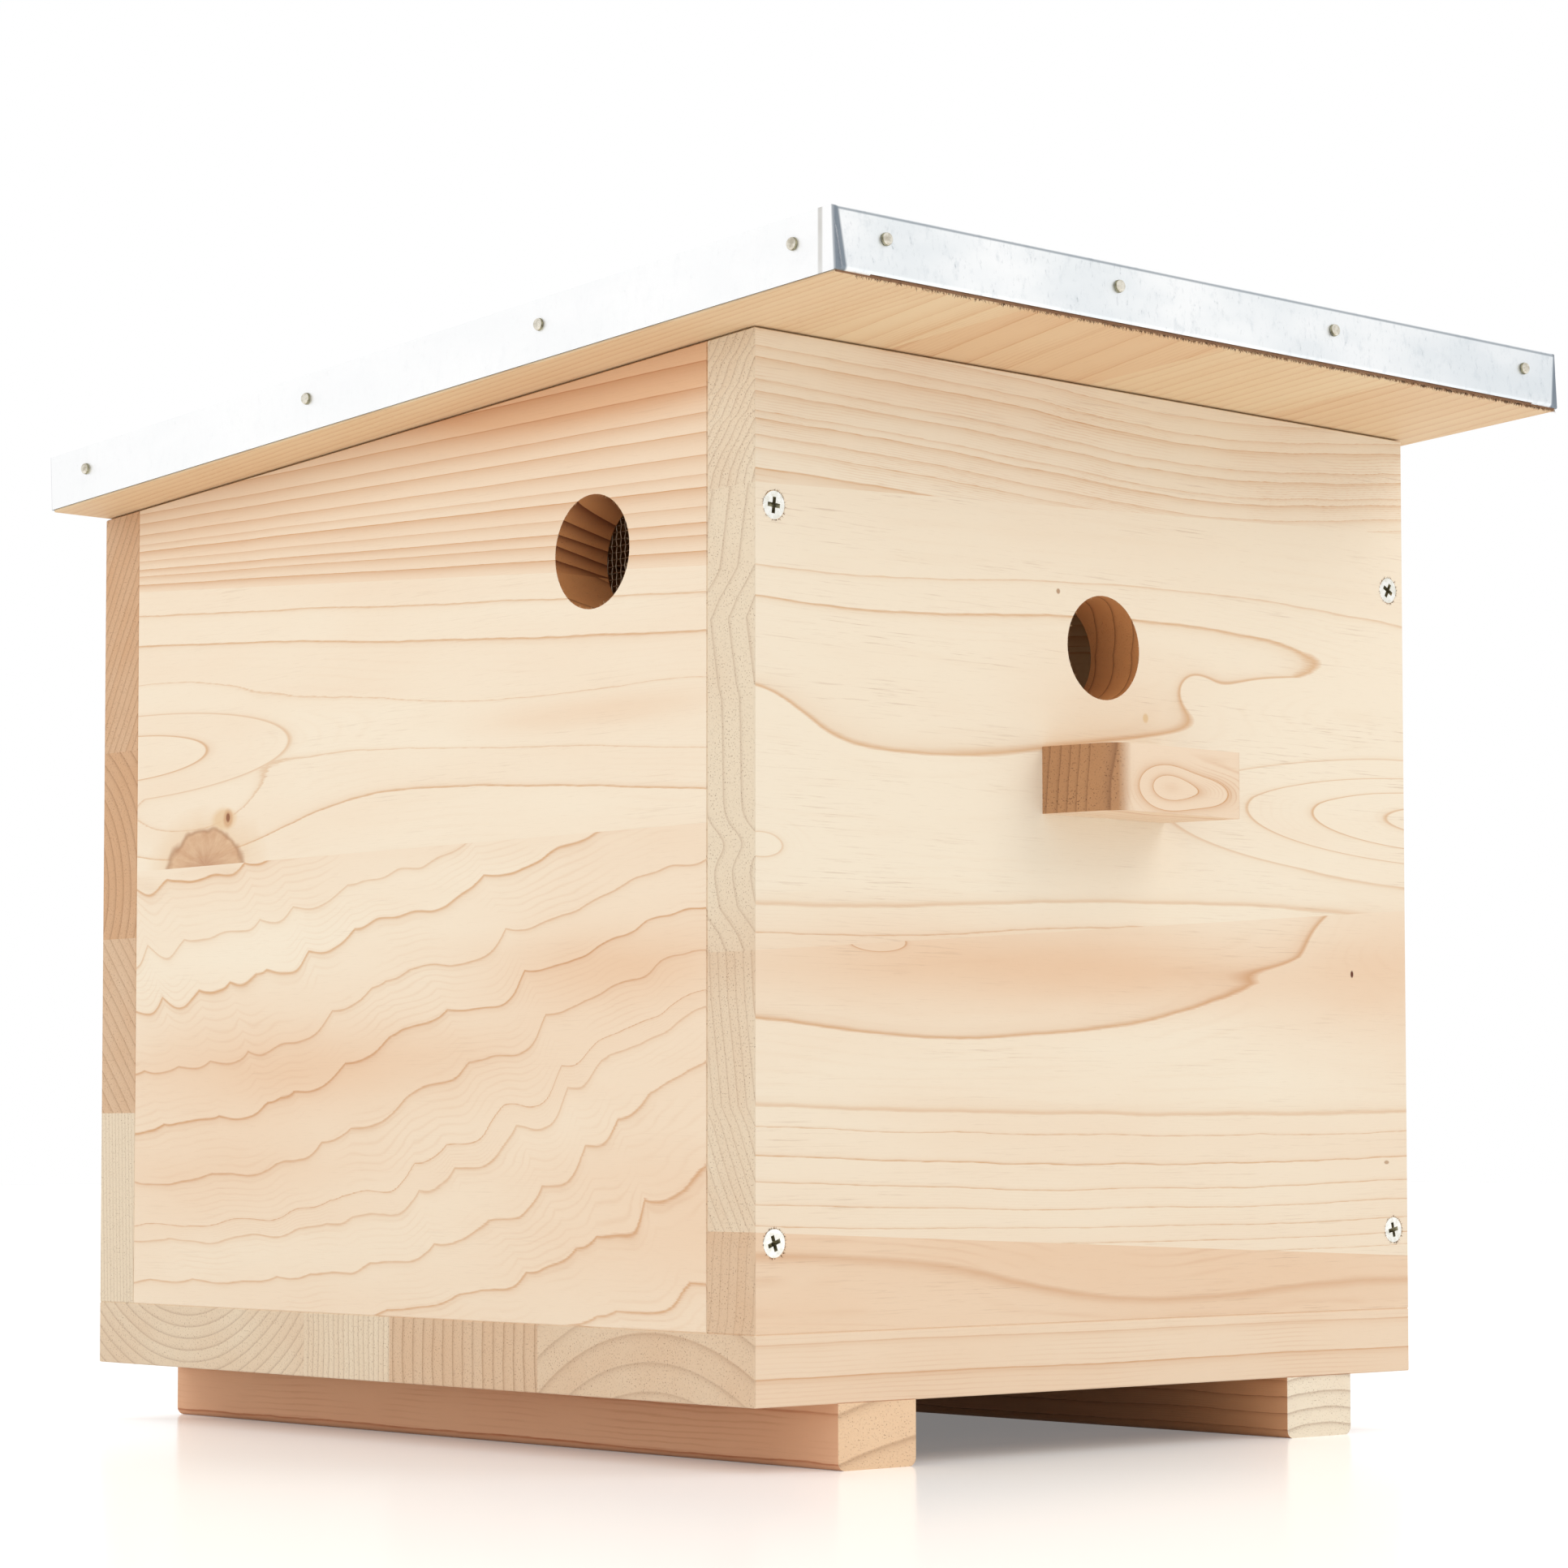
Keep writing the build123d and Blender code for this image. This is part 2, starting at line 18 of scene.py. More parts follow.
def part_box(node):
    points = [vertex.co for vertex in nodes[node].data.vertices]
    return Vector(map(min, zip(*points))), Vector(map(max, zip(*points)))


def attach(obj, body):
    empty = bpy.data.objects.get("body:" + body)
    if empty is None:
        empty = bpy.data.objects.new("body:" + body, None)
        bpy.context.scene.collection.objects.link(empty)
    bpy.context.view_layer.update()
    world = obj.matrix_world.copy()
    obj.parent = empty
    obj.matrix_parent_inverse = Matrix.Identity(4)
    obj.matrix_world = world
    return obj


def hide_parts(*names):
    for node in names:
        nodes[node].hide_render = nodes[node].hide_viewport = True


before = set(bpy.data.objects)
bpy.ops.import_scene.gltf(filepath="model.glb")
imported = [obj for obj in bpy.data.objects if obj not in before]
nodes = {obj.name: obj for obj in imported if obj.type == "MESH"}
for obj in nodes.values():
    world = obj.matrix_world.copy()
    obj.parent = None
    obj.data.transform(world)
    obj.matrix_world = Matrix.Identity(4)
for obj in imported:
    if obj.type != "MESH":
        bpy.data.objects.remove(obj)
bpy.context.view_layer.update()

# %% [markdown]
# ## Where the boards are
# The pattern of a board starts from one of its corners, so the faces of the panels are read
# from the frame once and kept under plain names.

# %% Faces of the box
MM = 0.001
front_low, front_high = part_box("front_panel")
back_low, back_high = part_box("back_panel")
floor_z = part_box("floor_board")[0].z
box_left, box_right = front_low.x, front_high.x
front_y, back_y = front_low.y, back_high.y
roof_angle = atan2(front_high.z - back_high.z, back_low.y - front_low.y)
print("box", [round(v, 4) for v in (box_left, box_right, front_y, back_y)])

# %% [markdown]
# The drilled holes are known by how far along a panel and how far up it they lie, and by their
# radius, in millimetres. The front panel starts at its left edge, a side panel at its back edge.

# %% Drilled holes
ENTRANCE_ALONG, ENTRANCE_UP, ENTRANCE_RADIUS = 135, 211, 15
VENT_ALONG, VENT_UP, VENT_RADIUS = 243, 233, 16
SCREW_COLUMNS, SCREW_ROWS, SCREW_RADIUS = (6.5, 263.5), (43, 239), 3.9
entrance_middle = Vector((box_left + ENTRANCE_ALONG * MM, front_y, floor_z + ENTRANCE_UP * MM))
vent_middle = Vector((box_left, back_y - VENT_ALONG * MM, floor_z + VENT_UP * MM))
print("entrance at", [round(v, 4) for v in entrance_middle])

# %% [markdown]
# Two short functions are used all along: one adds an object to the scene, and the other turns a
# bmesh, Blender's mesh for modelling, into the data of an object.

# %% New objects
def new_object(name, data):
    """Adds an object with its data to the scene."""
    thing = bpy.data.objects.new(name, data)
    bpy.context.collection.objects.link(thing)
    return thing


def mesh_data(name, mesh):
    """Turns a bmesh into mesh data, and frees it."""
    data = bpy.data.meshes.new(name)
    mesh.to_mesh(data)
    mesh.free()
    return data


# %% [markdown]
# ## The camera
# A long lens stands close to the ground, left of the front corner, and looks a little upwards.
# A small shift keeps the upright edges upright, as a photographer of furniture would.

# %% Camera
camera_place = Vector((-0.856847, -0.933379, 0.087988))
camera_yaw = radians(41.883)
camera_pitch = radians(3.119)
camera_lens = 94.57
camera_sensor = 36
camera_shift = (0.03417, 0.08453)

camera_data = bpy.data.cameras.new("camera")
camera_data.lens = camera_lens
camera_data.sensor_width = camera_sensor
camera_data.shift_x, camera_data.shift_y = camera_shift
camera = new_object("camera", camera_data)
camera.location = camera_place
camera.rotation_euler = Euler((pi / 2 + camera_pitch, 0, -camera_yaw))
bpy.context.scene.camera = camera
bpy.context.scene.view_settings.view_transform = "Standard"
print("camera at", [round(v, 3) for v in camera_place])

# %% [markdown]
# ## Shader maths as Python
# A growth ring is a sum of many small steps, and written node by node they are hard to read.
# So one small class wraps a socket, and its operators add the Math nodes.

# %% Values that add their own nodes
class Value:
    """A socket of one material. Its operators add Math nodes, so that sums read like Python."""

    def __init__(self, finish, socket):
        self.finish = finish
        self.socket = socket

    def math(self, operation, *others):
        sockets = dict(enumerate((self,) + others))
        return self.finish.node("Math", sockets, {"operation": operation})

    def __add__(self, other):
        return self.math("ADD", other)

    __radd__ = __add__

    def __sub__(self, other):
        return self.math("SUBTRACT", other)

    def __rsub__(self, other):
        return self.finish.number(other).math("SUBTRACT", self)

    def __mul__(self, other):
        return self.math("MULTIPLY", other)

    __rmul__ = __mul__

    def __truediv__(self, other):
        return self.math("DIVIDE", other)

    def __pow__(self, power):
        return self.math("POWER", power)

    def __abs__(self):
        return self.math("ABSOLUTE")

    def squared(self):
        return self.math("MULTIPLY", self)

    def above(self, limit):
        return self.math("GREATER_THAN", limit)

    def between(self, low, high, run="LINEAR"):
        """0 below low, 1 above high, and a straight run between them."""
        sockets = {"Value": self, "From Min": low, "From Max": high}
        return self.finish.node("MapRange", sockets, {"clamp": True, "interpolation_type": run})

    def eased(self, low, high):
        """Like between, with soft ends."""
        return self.between(low, high, "SMOOTHSTEP")


MIX_FIRST, MIX_SECOND, MIX_RESULT = 6, 7, 2


class Finish:
    """One material, or the world, and the one method that adds nodes to it."""

    def __init__(self, name, library=bpy.data.materials):
        self.material = library.new(name)
        self.material.use_nodes = True
        self.tree = self.material.node_tree
        self.tree.nodes.clear()

    def node(self, kind, sockets=None, settings=None, output=0):
        """Adds a node. Settings go on the node itself, values and links on its sockets."""
        node = self.tree.nodes.new("ShaderNode" + kind)
        for key, setting in (settings or {}).items():
            setattr(node, key, setting)
        for key, value in (sockets or {}).items():
            if isinstance(value, Value):
                self.tree.links.new(value.socket, node.inputs[key])
            else:
                node.inputs[key].default_value = value
        return Value(self, node.outputs[output]) if node.outputs else None

    def number(self, value):
        """A plain number as a value, so that it can start a sum."""
        return self.node("Math", {0: value, 1: 0.0}, {"operation": "ADD"})

    def parts(self, vector):
        """The three parts of a vector, each a value."""
        split = self.node("SeparateXYZ", {0: vector}).socket.node
        return [Value(self, part) for part in split.outputs]

    def object_place(self):
        """Object coordinates in millimetres, as three values."""
        place = self.node("TexCoord", output="Object")
        return [part * (1 / MM) for part in self.parts(place)]

    def normal(self):
        """The way the surface faces, as three values."""
        return self.parts(self.node("NewGeometry", output="Normal"))

    def noise(self, place, detail=2.0, roughness=0.5, scale=1.0):
        """Soft random patches, at a place that is given as three values."""
        vector = self.node("CombineXYZ", dict(enumerate(place)))
        sockets = {"Vector": vector, "Scale": scale, "Detail": detail, "Roughness": roughness}
        return self.node("TexNoise", sockets)

    def mix(self, share, first, second):
        """Two colours, mixed. Each is a value, or red, green and blue as a screen shows them."""
        sockets = {0: share, MIX_FIRST: first, MIX_SECOND: second}
        for place in (MIX_FIRST, MIX_SECOND):
            if not isinstance(sockets[place], Value):
                sockets[place] = linear(*sockets[place])
        return self.node("Mix", sockets, {"data_type": "RGBA"}, MIX_RESULT)

    def surface(self, shade, roughness=0.5, metallic=0.0, bump=None, depth=0.0, **constants):
        """Ends the material in a Principled shader, with an optional bump of that depth."""
        sockets = {"Base Color": shade, "Roughness": roughness, "Metallic": metallic}
        sockets.update(constants)
        if bump is not None:
            sockets["Normal"] = self.node("Bump", {"Strength": 1.0, "Distance": depth, "Height": bump})
        shader = self.node("BsdfPrincipled", sockets)
        self.node("OutputMaterial", {"Surface": shader})
        return self.material


def linear(*colour):
    """A colour as a screen shows it, 0 to 255, turned into the linear one that shaders use."""
    shares = [part / 255 for part in colour]
    return (*(s / 12.92 if s <= 0.04045 else ((s + 0.055) / 1.055) ** 2.4 for s in shares), 1.0)


print("shader helpers ready")

# %% [markdown]
# ## Floor, backdrop and light
# The box stands on a white table in a white room. The room itself is the main light, so that
# colours render about as they are written. A large soft lamp on each side gives the boards a
# direction, and the one at the right draws the soft shadow under the landing block.

# %% Floor
WHITE = (1.0, 1.0, 1.0, 1.0)
SHADE_DEPTH, SHADE_SPILL = 45.0, 2.0
FLOOR_REACH = 6.0


def looked_at(finish):
    """1 for rays from the camera and in reflections, 0 for rays that only carry light."""
    seen = finish.node("LightPath", output="Is Camera Ray")
    mirrored = finish.node("LightPath", output="Is Glossy Ray")
    return seen.math("MAXIMUM", mirrored)


def white_floor():
    """A white table, greyer beneath the box as a painted shadow, faintly glowing wherever it is looked
    at.
    """
    finish = Finish("white_table")
    x, y, _ = finish.object_place()
    beyond = []
    for place, low, high in ((x, box_left, box_right), (y, front_y, back_y)):
        away = abs(place - (low + high) / 2 / MM)
        beyond.append(away - (high - low) / 2 / MM)
    # Painted shadow: a greyer brown beneath the box, full 45 mm in from its outline and gone 2 mm past
    # it.
    under = 1.0 - beyond[0].math("MAXIMUM", beyond[1]).eased(-SHADE_DEPTH, SHADE_SPILL)
    ground = finish.mix(under, (252, 252, 252), (176, 158, 144))
    sockets = {"Base Color": ground, "Roughness": 0.2, "Specular IOR Level": 0.14}
    plain = finish.node("BsdfPrincipled", sockets)
    glow = finish.node("Emission", {"Color": WHITE, "Strength": 0.18})
    lit = finish.node("AddShader", {0: plain, 1: glow})
    shown = finish.node("MixShader", {0: looked_at(finish), 1: plain, 2: lit})
    finish.node("OutputMaterial", {"Surface": shown})
    return finish.material


floor_mesh = bmesh.new()
bmesh.ops.create_grid(floor_mesh, x_segments=1, y_segments=1, size=FLOOR_REACH)
table = new_object("table", mesh_data("table", floor_mesh))
table.data.materials.append(white_floor())
print("floor laid")

# %% Light
ROOM_LIGHT = 0.85
LAMP_AIM = (0, 0, 0.15)
KEY_PLACE, KEY_SIZE, KEY_POWER = (1.1, -1.5, 1.5), 1.2, 10
SIDE_PLACE, SIDE_SIZE, SIDE_POWER = (-1.9, 0.6, 1.0), 1.6, 8


def white_room():
    """The world: pure white to look at, and a little dimmer as a light."""
    room = Finish("white_room", bpy.data.worlds)
    light = room.node("Background", {"Color": WHITE, "Strength": ROOM_LIGHT})
    backdrop = room.node("Background", {"Color": WHITE, "Strength": 1.0})
    mixed = room.node("MixShader", {0: looked_at(room), 1: light, 2: backdrop})
    room.node("OutputWorld", {"Surface": mixed})
    return room.material


def lamp(name, kind, place, aim, power):
    """A lamp of one kind, turned to what it aims at."""
    light = new_object(name, bpy.data.lights.new(name, kind))
    light.data.energy = power
    light.location = place
    light.rotation_euler = (Vector(aim) - Vector(place)).to_track_quat("-Z", "Y").to_euler()
    return light


def soft_lamp(name, place, size, power):
    """A large square lamp, aimed at the middle of the box, that no surface mirrors."""
    light = lamp(name, "AREA", place, LAMP_AIM, power)
    light.data.shape = "RECTANGLE"
    light.data.size = light.data.size_y = size
    light.visible_glossy = False


bpy.context.scene.world = white_room()
soft_lamp("key", KEY_PLACE, KEY_SIZE, KEY_POWER)
soft_lamp("side_lamp", SIDE_PLACE, SIDE_SIZE, SIDE_POWER)
print("light ready")

# %% [markdown]
# A faint warm spot inside the box, near its left and back walls, brings out what shows of the
# inside through the entrance.

# %% Light inside
INSIDE_POWER, INSIDE_WARMTH = 0.11, (1.0, 0.6, 0.34)
spot_place = (box_left + 60 * MM, back_y - 90 * MM, floor_z + 150 * MM)
spot_aim = (box_right - 18 * MM, 0.0, floor_z + 210 * MM)
daylight = lamp("daylight_inside", "SPOT", spot_place, spot_aim, INSIDE_POWER)
daylight.data.spot_size = radians(50)
daylight.data.color = INSIDE_WARMTH
print("inside lit")

# %% [markdown]
# ## Spruce
# A board is a slice of a log. Each growth ring is a shell round the log's heart, pale where it
# grew in spring and brown where it grew in summer, and every line on a board is one shell cut
# open. So the pattern is worked out in the solid: it counts the rings up to each point, and a
# brown line lies where the count reaches a whole number. End grain and faces then join up by
# themselves, in the holes too. The boards are glued from staves, each from another log, so a
# stave has its own lines, tone and strength.

# %% Rings of one stave
def hump(u, v, place, reach, height):
    """A soft hill on a board, round one place."""
    across = ((u - place[0]) / reach[0]).squared() + ((v - place[1]) / reach[1]).squared()
    return (across * -1.0).math("EXPONENT") * height


def count_rings(grain, wave, stave):
    """Rings between the start of a stave and a point. Humps bend them, swells add some."""
    u, v, w = grain
    height = v + wave * stave.get("wave", 1.0)
    if "tilt" in stave:
        height = height - u * stave["tilt"]
    if "teeth" in stave:
        lean, length, rise = stave["teeth"]
        folds = ((u + v * lean) * (1 / length), v * 0.012, w * 0.02)
        tooth = abs(v.finish.noise(folds, 1.0, 0.3) - 0.5)
        height = height + tooth * (v.between(15.0, 110.0) * (rise * 0.75) + rise * 0.25)
    for place, reach, rise in stave.get("humps", ()):
        height = height - hump(u, v, place, reach, rise)
    if "fan" in stave:
        pivot, opening = stave["fan"]
        height = (height - pivot) / (u * opening + 1.0) + pivot
    if "flat" in stave:
        height = height - v + w + v * stave["flat"]
    if "heart" in stave:
        heart_v, heart_w = stave["heart"]
        distance = ((height - heart_v).squared() + (w - heart_w).squared()) ** 0.5
        count = distance * (1 / stave["ring"])
    else:
        lines = stave["lines"]
        count = w * stave.get("depth", 0.3) + lines[0][1]
        for (low, first), (high, second) in zip(lines, lines[1:]):
            count = count + height.between(low, high) * (second - first)
    for place, reach, rise in stave.get("swells", ()):
        count = count + hump(u, v, place, reach, rise)
    return count


# %% [markdown]
# Above a glue joint the next stave takes over, with its own count and its own traits. Warm is
# the share of pink heartwood, strong and sharp are how dark and how thin its lines are, and
# ripple and streaks are how much fine figure lies between them.

# %% Rings of a glued board
TRAITS = ("warm", "strong", "sharp", "ripple", "streaks")
USUAL_TRAIT = 0.3


def glued(grain, shift, staves):
    """The ring count and the traits of a whole board, lowest stave first."""
    u, v, _ = grain
    count = count_rings(grain, shift, staves[0])
    traits = {name: v.finish.number(staves[0].get(name, USUAL_TRAIT)) for name in TRAITS}
    for below, stave in zip(staves, staves[1:]):
        seam_start, seam_end, length = below["seam"]
        over = (v - u * ((seam_end - seam_start) / length)).above(seam_start)
        count = count + (count_rings(grain, shift, stave) - count) * over
        for name in TRAITS:
            step = stave.get(name, USUAL_TRAIT) - below.get(name, USUAL_TRAIT)
            traits[name] = traits[name] + over * step
    return count, traits


SPRUCE = dict(
    pale=(247, 233, 210), heart=(234, 192, 153),
    line=(212, 158, 98), heart_line=(196, 132, 86),
    end=(234, 216, 189), end_heart=(212, 168, 128), end_line=(140, 94, 58),
    # The drilled tones are darker and browner than the wood: painted shade inside drilled holes.
    drilled=(222, 162, 106), drilled_heart=(184, 114, 64),
    drilled_line=(108, 54, 26),
)
FIBRE = (172, 128, 88)
RING_END = 0.025
print("tones of spruce:", len(SPRUCE))

# %% One board
class Board:
    """A board's own coordinates, its rings, and how pink it is from place to place."""

    def __init__(self, name, axes, staves, blushes, seed, tones):
        self.finish = Finish(name)
        self.seed, self.tones = seed, tones
        places = dict(zip("xyz", self.finish.object_place()))
        slants = dict(zip("xyz", self.finish.normal()))
        u, v, _ = self.grain = [(places[axis] - start / MM) * sign for axis, start, sign in axes]
        self.end_on = abs(slants[axes[0][0]])
        self.flat_on = abs(slants[axes[2][0]])

        wave = (self.noise(0.011, 0.03, (seed, 0, 0)) - 0.5) * 2.8
        fine = (self.noise(0.06, 0.06, (0, seed, 0)) - 0.5) * 0.8
        self.fibre = self.noise(0.14, 3.2, roughness=0.6)
        shift = wave + fine + (self.fibre - 0.5) * 0.6
        self.count, self.traits = glued(self.grain, shift, staves)
        ring = self.count.math("FLOOR")
        self.phase = self.count - ring
        self.fading = ((1.0 - self.phase) / RING_END).between(0.0, 1.0)
        sockets = {"W": ring + seed}
        self.ring_share = self.finish.node("TexWhiteNoise", sockets, {"noise_dimensions": "1D"})

        cloud = self.noise(0.008, 0.035, (0, seed, 0), detail=3.0)
        warm = self.traits["warm"] + (cloud - 0.5) * 0.45 + (self.ring_share - 0.5) * 0.1
        for place, reach, rise in blushes:
            warm = warm + hump(u, v, place, reach, rise)
        self.warm = warm.between(0.0, 1.0)

    def noise(self, along, across, start=(0, 0, 0), detail=2.0, roughness=0.5):
        """Noise that is stretched along the grain. Each use starts at a place of its own."""
        u, v, w = self.grain
        place = (u * along + start[0], v * across + start[1], w * across + start[2])
        return self.finish.noise(place, detail, roughness)

    def tone(self, sapwood, heartwood):
        return self.finish.mix(self.warm, self.tones[sapwood], self.tones[heartwood])


# %% [markdown]
# Between its lines the wood isn't even: fine ripples run along with the rings, short dark
# fibres along the grain, and heartwood is pinker than sapwood. Cut across, the wood is greyer
# and full of small pores. All of that follows from the same ring count and the same place.

# %% Faces, ends and holes of a board
END_RING_END = 0.06
BORE_MARGIN = 0.4


def summer_wood(board):
    """The brown lines: each ring darkens slowly and breaks off at its end."""
    late = (board.phase ** board.traits["sharp"]) * 0.6 + board.phase.between(0.93, 0.97) * 0.4
    return late * board.fading * board.traits["strong"] * (board.ring_share * 0.5 + 0.75)


def long_face(board, late):
    """A face along the grain, with ripples, dark dashes and single fibres."""
    mix = board.finish.mix
    wander = board.noise(0.012, 0.1) * 2.0
    ripple = abs((board.count * 7.0 + wander).math("FRACT") - 0.5) * 2.0
    patch = board.noise(0.02, 0.05, (0, 0, board.seed))
    ripple = ripple.between(0.55, 1.0) * board.traits["ripple"] * patch.between(0.42, 0.62)
    group = board.noise(0.012, 0.09, (0, board.seed, 0))
    dash = board.noise(0.05, 1.7, (0, board.seed, 0), detail=3.0, roughness=0.65)
    dash = dash.between(0.56, 0.72) * group.between(0.46, 0.64) * board.traits["streaks"]
    plain, line = board.tone("pale", "heart"), board.tone("line", "heart_line")
    face = mix((late + ripple).between(0.0, 1.0), plain, line)
    return mix(dash * 0.4 + (board.fibre - 0.5).between(0.1, 0.4) * 0.18, face, FIBRE)


def end_grain(board, pores):
    """A face across the grain, with thinner lines and with pores."""
    specks = board.noise(1.0, 0.15, (0, board.seed, 0)).between(0.4, 0.6)
    late = board.phase ** (board.traits["sharp"] * 0.4 + 5.0)
    late = late * ((1.0 - board.phase) / END_RING_END).between(0.0, 1.0)
    dark = board.tones["end_line"]
    cut = board.finish.mix(late * (board.traits["strong"] * 0.8), board.tone("end", "end_heart"), dark)
    return board.finish.mix(pores * specks * 0.55, cut, dark)


def bored(board, shade, bores):
    """Walls of drilled holes, darker and browner as painted shade. Each hole is a place and a radius."""
    u, v, _ = board.grain
    lines = (board.phase ** board.traits["sharp"]) * board.fading
    wall = board.finish.mix(lines, board.tone("drilled", "drilled_heart"), board.tones["drilled_line"])
    side = 1.0 - board.flat_on.between(0.4, 0.6)
    for place, radius in bores:
        away = ((u - place[0]).squared() + (v - place[1]).squared()) ** 0.5
        shade = board.finish.mix((1.0 - away.above(radius + BORE_MARGIN)) * side, shade, wall)
    return shade


# %% Knots
def knot_mark(board, shade, place, reach, floor):
    """A cut knot: a brown disc with rays from its middle and a dark rim."""
    finish = board.finish
    u, v, _ = board.grain
    across = (u - place[0]) / reach[0]
    up = (v - place[1]) / reach[1]
    away = (across.squared() + up.squared()) ** 0.5
    turn = up.math("ARCTAN2", across)
    rays = finish.noise((turn * 3.0, away * 1.5, 0.0), 3.0, 0.6).between(0.3, 0.7)
    away = away + (finish.noise((u * 0.1, v * 0.1, 0.0)) - 0.5) * 0.5
    inside = finish.mix(rays, (204, 156, 118), (226, 190, 152))
    inside = finish.mix((1.0 - away.between(0.1, 0.6)) * 0.5, inside, (178, 122, 88))
    rim = 1.0 - abs(away - 1.0).between(0.0, 0.12)
    inside = finish.mix(rim * 0.7, inside, (160, 108, 72))
    share = (1.0 - away.between(0.96, 1.1)) * v.above(floor) * 0.9
    halo = (1.0 - away.between(1.0, 1.7)) * v.above(floor) * 0.4
    return finish.mix(share, finish.mix(halo, shade, (228, 190, 144)), inside)


# %% [markdown]
# A board takes its staves, and then whatever marks it: blushes of pink, one of them partly
# painted shade, drilled holes, darker inside as painted shade, knots and small spots. The end
# grain takes over where a face turns across the grain.

# %% Wood
WOOD_ROUGHNESS = 0.62
RELIEF_DEPTH = 0.08 * MM


def wood(
    name, axes, staves, marks=(), knots=(), blushes=(), bores=(), seed=0.0, tones=SPRUCE,
    turning=(0.55, 0.75),
):
    """A board of glued staves. axes gives the grain, the width and the depth in turn."""
    board = Board(name, axes, staves, blushes, seed, tones)
    finish = board.finish
    u, v, _ = board.grain
    end = board.end_on.between(*turning)
    pores = board.noise(0.8, 2.2, detail=1.0).between(0.64, 0.72)
    late = summer_wood(board)
    shade = finish.mix(end, long_face(board, late), end_grain(board, pores))
    if bores:
        shade = bored(board, shade, bores)
    for place, reach, floor in knots:
        shade = knot_mark(board, shade, place, reach, floor)
    for place, reach, tint, share in marks:
        spot = hump(u, v, place, reach, 1.0).between(0.25, 0.6) * share
        shade = finish.mix(spot, shade, tint)
    relief = board.fibre * 0.4 - late * 0.1 - pores * end * 1.5
    sheen = {"Specular IOR Level": 0.35}
    return finish.surface(shade, WOOD_ROUGHNESS, 0.0, relief, RELIEF_DEPTH, **sheen)


def give(material, *names):
    """Puts one material on some CAD nodes."""
    for name in names:
        slots = nodes[name].data.materials
        slots.clear()
        slots.append(material)


print("wood ready")

# %% [markdown]
# ## Front panel
# Four staves. The lowest and the one above it are heartwood, salmon pink in places, and the two
# upper ones are pale. Long tongues on the second from the top are rings that the saw only just
# grazed, so one ring spreads over a third of the board. Lengths are from the lower left corner.

# %% Front panel
front_staves = [
    dict(
        seam=(46, 35, 270), warm=0.6, strong=0.75, sharp=24.0, ripple=0.2, streaks=1.0,
        lines=[(-20, 0), (14, 1), (24, 1.7), (36, 1.9), (41.5, 2), (60, 3)],
        humps=[((150, 30), (75, 26), -14), ((300, 30), (110, 26), -12)],
    ),
    dict(
        seam=(120.2, 140.6, 270), warm=0.14, strong=0.72, sharp=16.0, ripple=0.05, streaks=0.7,
        lines=[
            (40, 9), (44, 8), (49, 7), (55, 6), (61, 5), (68, 4), (75.5, 3), (80.5, 2), (98, 1.25),
            (103.5, 1), (109, 0.75), (121, 0.5), (150, 0.2),
        ],
        humps=[((70, 100), (60, 14), -5), ((150, 60), (160, 30), -5), ((204, 112), (46, 16), 8)],
        swells=[((45, 124), (14, 3.5), 0.9), ((160, 120), (60, 5), 0.25), ((280, 130), (56, 22), 1.5)],
    ),
    dict(
        seam=(244.5, 257, 270), warm=-0.02, strong=0.72, sharp=16.0, ripple=0.04, streaks=1.0, depth=0.14,
        lines=[
            (112, 4), (124, 3), (131, 2), (150, 1.3), (172, 1.1), (177, 0.92), (206, 0.5),
            (214, 1), (224, 2), (245, 2.6), (262, 3),
        ],
        humps=[
            ((-4, 186), (27, 18), 16), ((165, 222), (90, 20), 6.5), ((180, 134), (120, 14), 8),
            ((260, 240), (80, 16), 6), ((20, 224), (60, 10), -2),
        ],
        swells=[
            ((292, 169), (105, 15), 4.2), ((248, 200), (62, 10.5), 1.2), ((174, 203), (9, 6.5), 0.28),
            ((316, 214), (42, 9.5), 0.9), ((2, 149), (13, 5), 0.9),
        ],
    ),
    dict(
        warm=0.04, strong=0.6, sharp=3.5, streaks=0.8,
        lines=[
            (238, 0), (249, 1), (254, 2), (257.5, 3), (262, 4), (264, 5), (269, 6), (272, 7),
            (278, 8), (281, 9), (286, 10), (292, 11),
        ],
        humps=[((165, 265), (75, 200), -4), ((300, 265), (60, 200), 6)],
    ),
]
front_blushes = [
    ((110, 119), (130, 12), 0.6), ((262, 124), (50, 18), 0.4), ((285, 100), (40, 12), 0.15),
    ((150, 196), (60, 14), 0.12),
]
front_marks = [
    ((244.3, 120.4), (0.7, 1.1), (96, 44, 22), 1.0), ((116.3, 225.7), (0.8, 0.8), FIBRE, 0.8),
    ((152.6, 192), (1.2, 1.4), (226, 190, 130), 0.6), ((260, 63.5), (1.2, 0.6), FIBRE, 0.7),
]
front_bores = [((ENTRANCE_ALONG, ENTRANCE_UP), ENTRANCE_RADIUS)]
front_bores += [((along, up), SCREW_RADIUS) for along in SCREW_COLUMNS for up in SCREW_ROWS]
front_axes = (("x", box_left, 1), ("z", floor_z, 1), ("y", front_y, 1))
front_spruce = wood(
    "front_spruce", front_axes, front_staves, front_marks, (), front_blushes, front_bores, 3.0
)
give(front_spruce, "front_panel")
print("front panel:", len(front_staves), "staves")

# %% [markdown]
# ## Side panels
# Three staves each. On the left one the lowest was cut where the tree had grown wavy, so its
# lines climb in small teeth, and a branch was cut through right at the joint above. The right
# panel repeats the staves with another seed. Lengths are from the lower back corner.

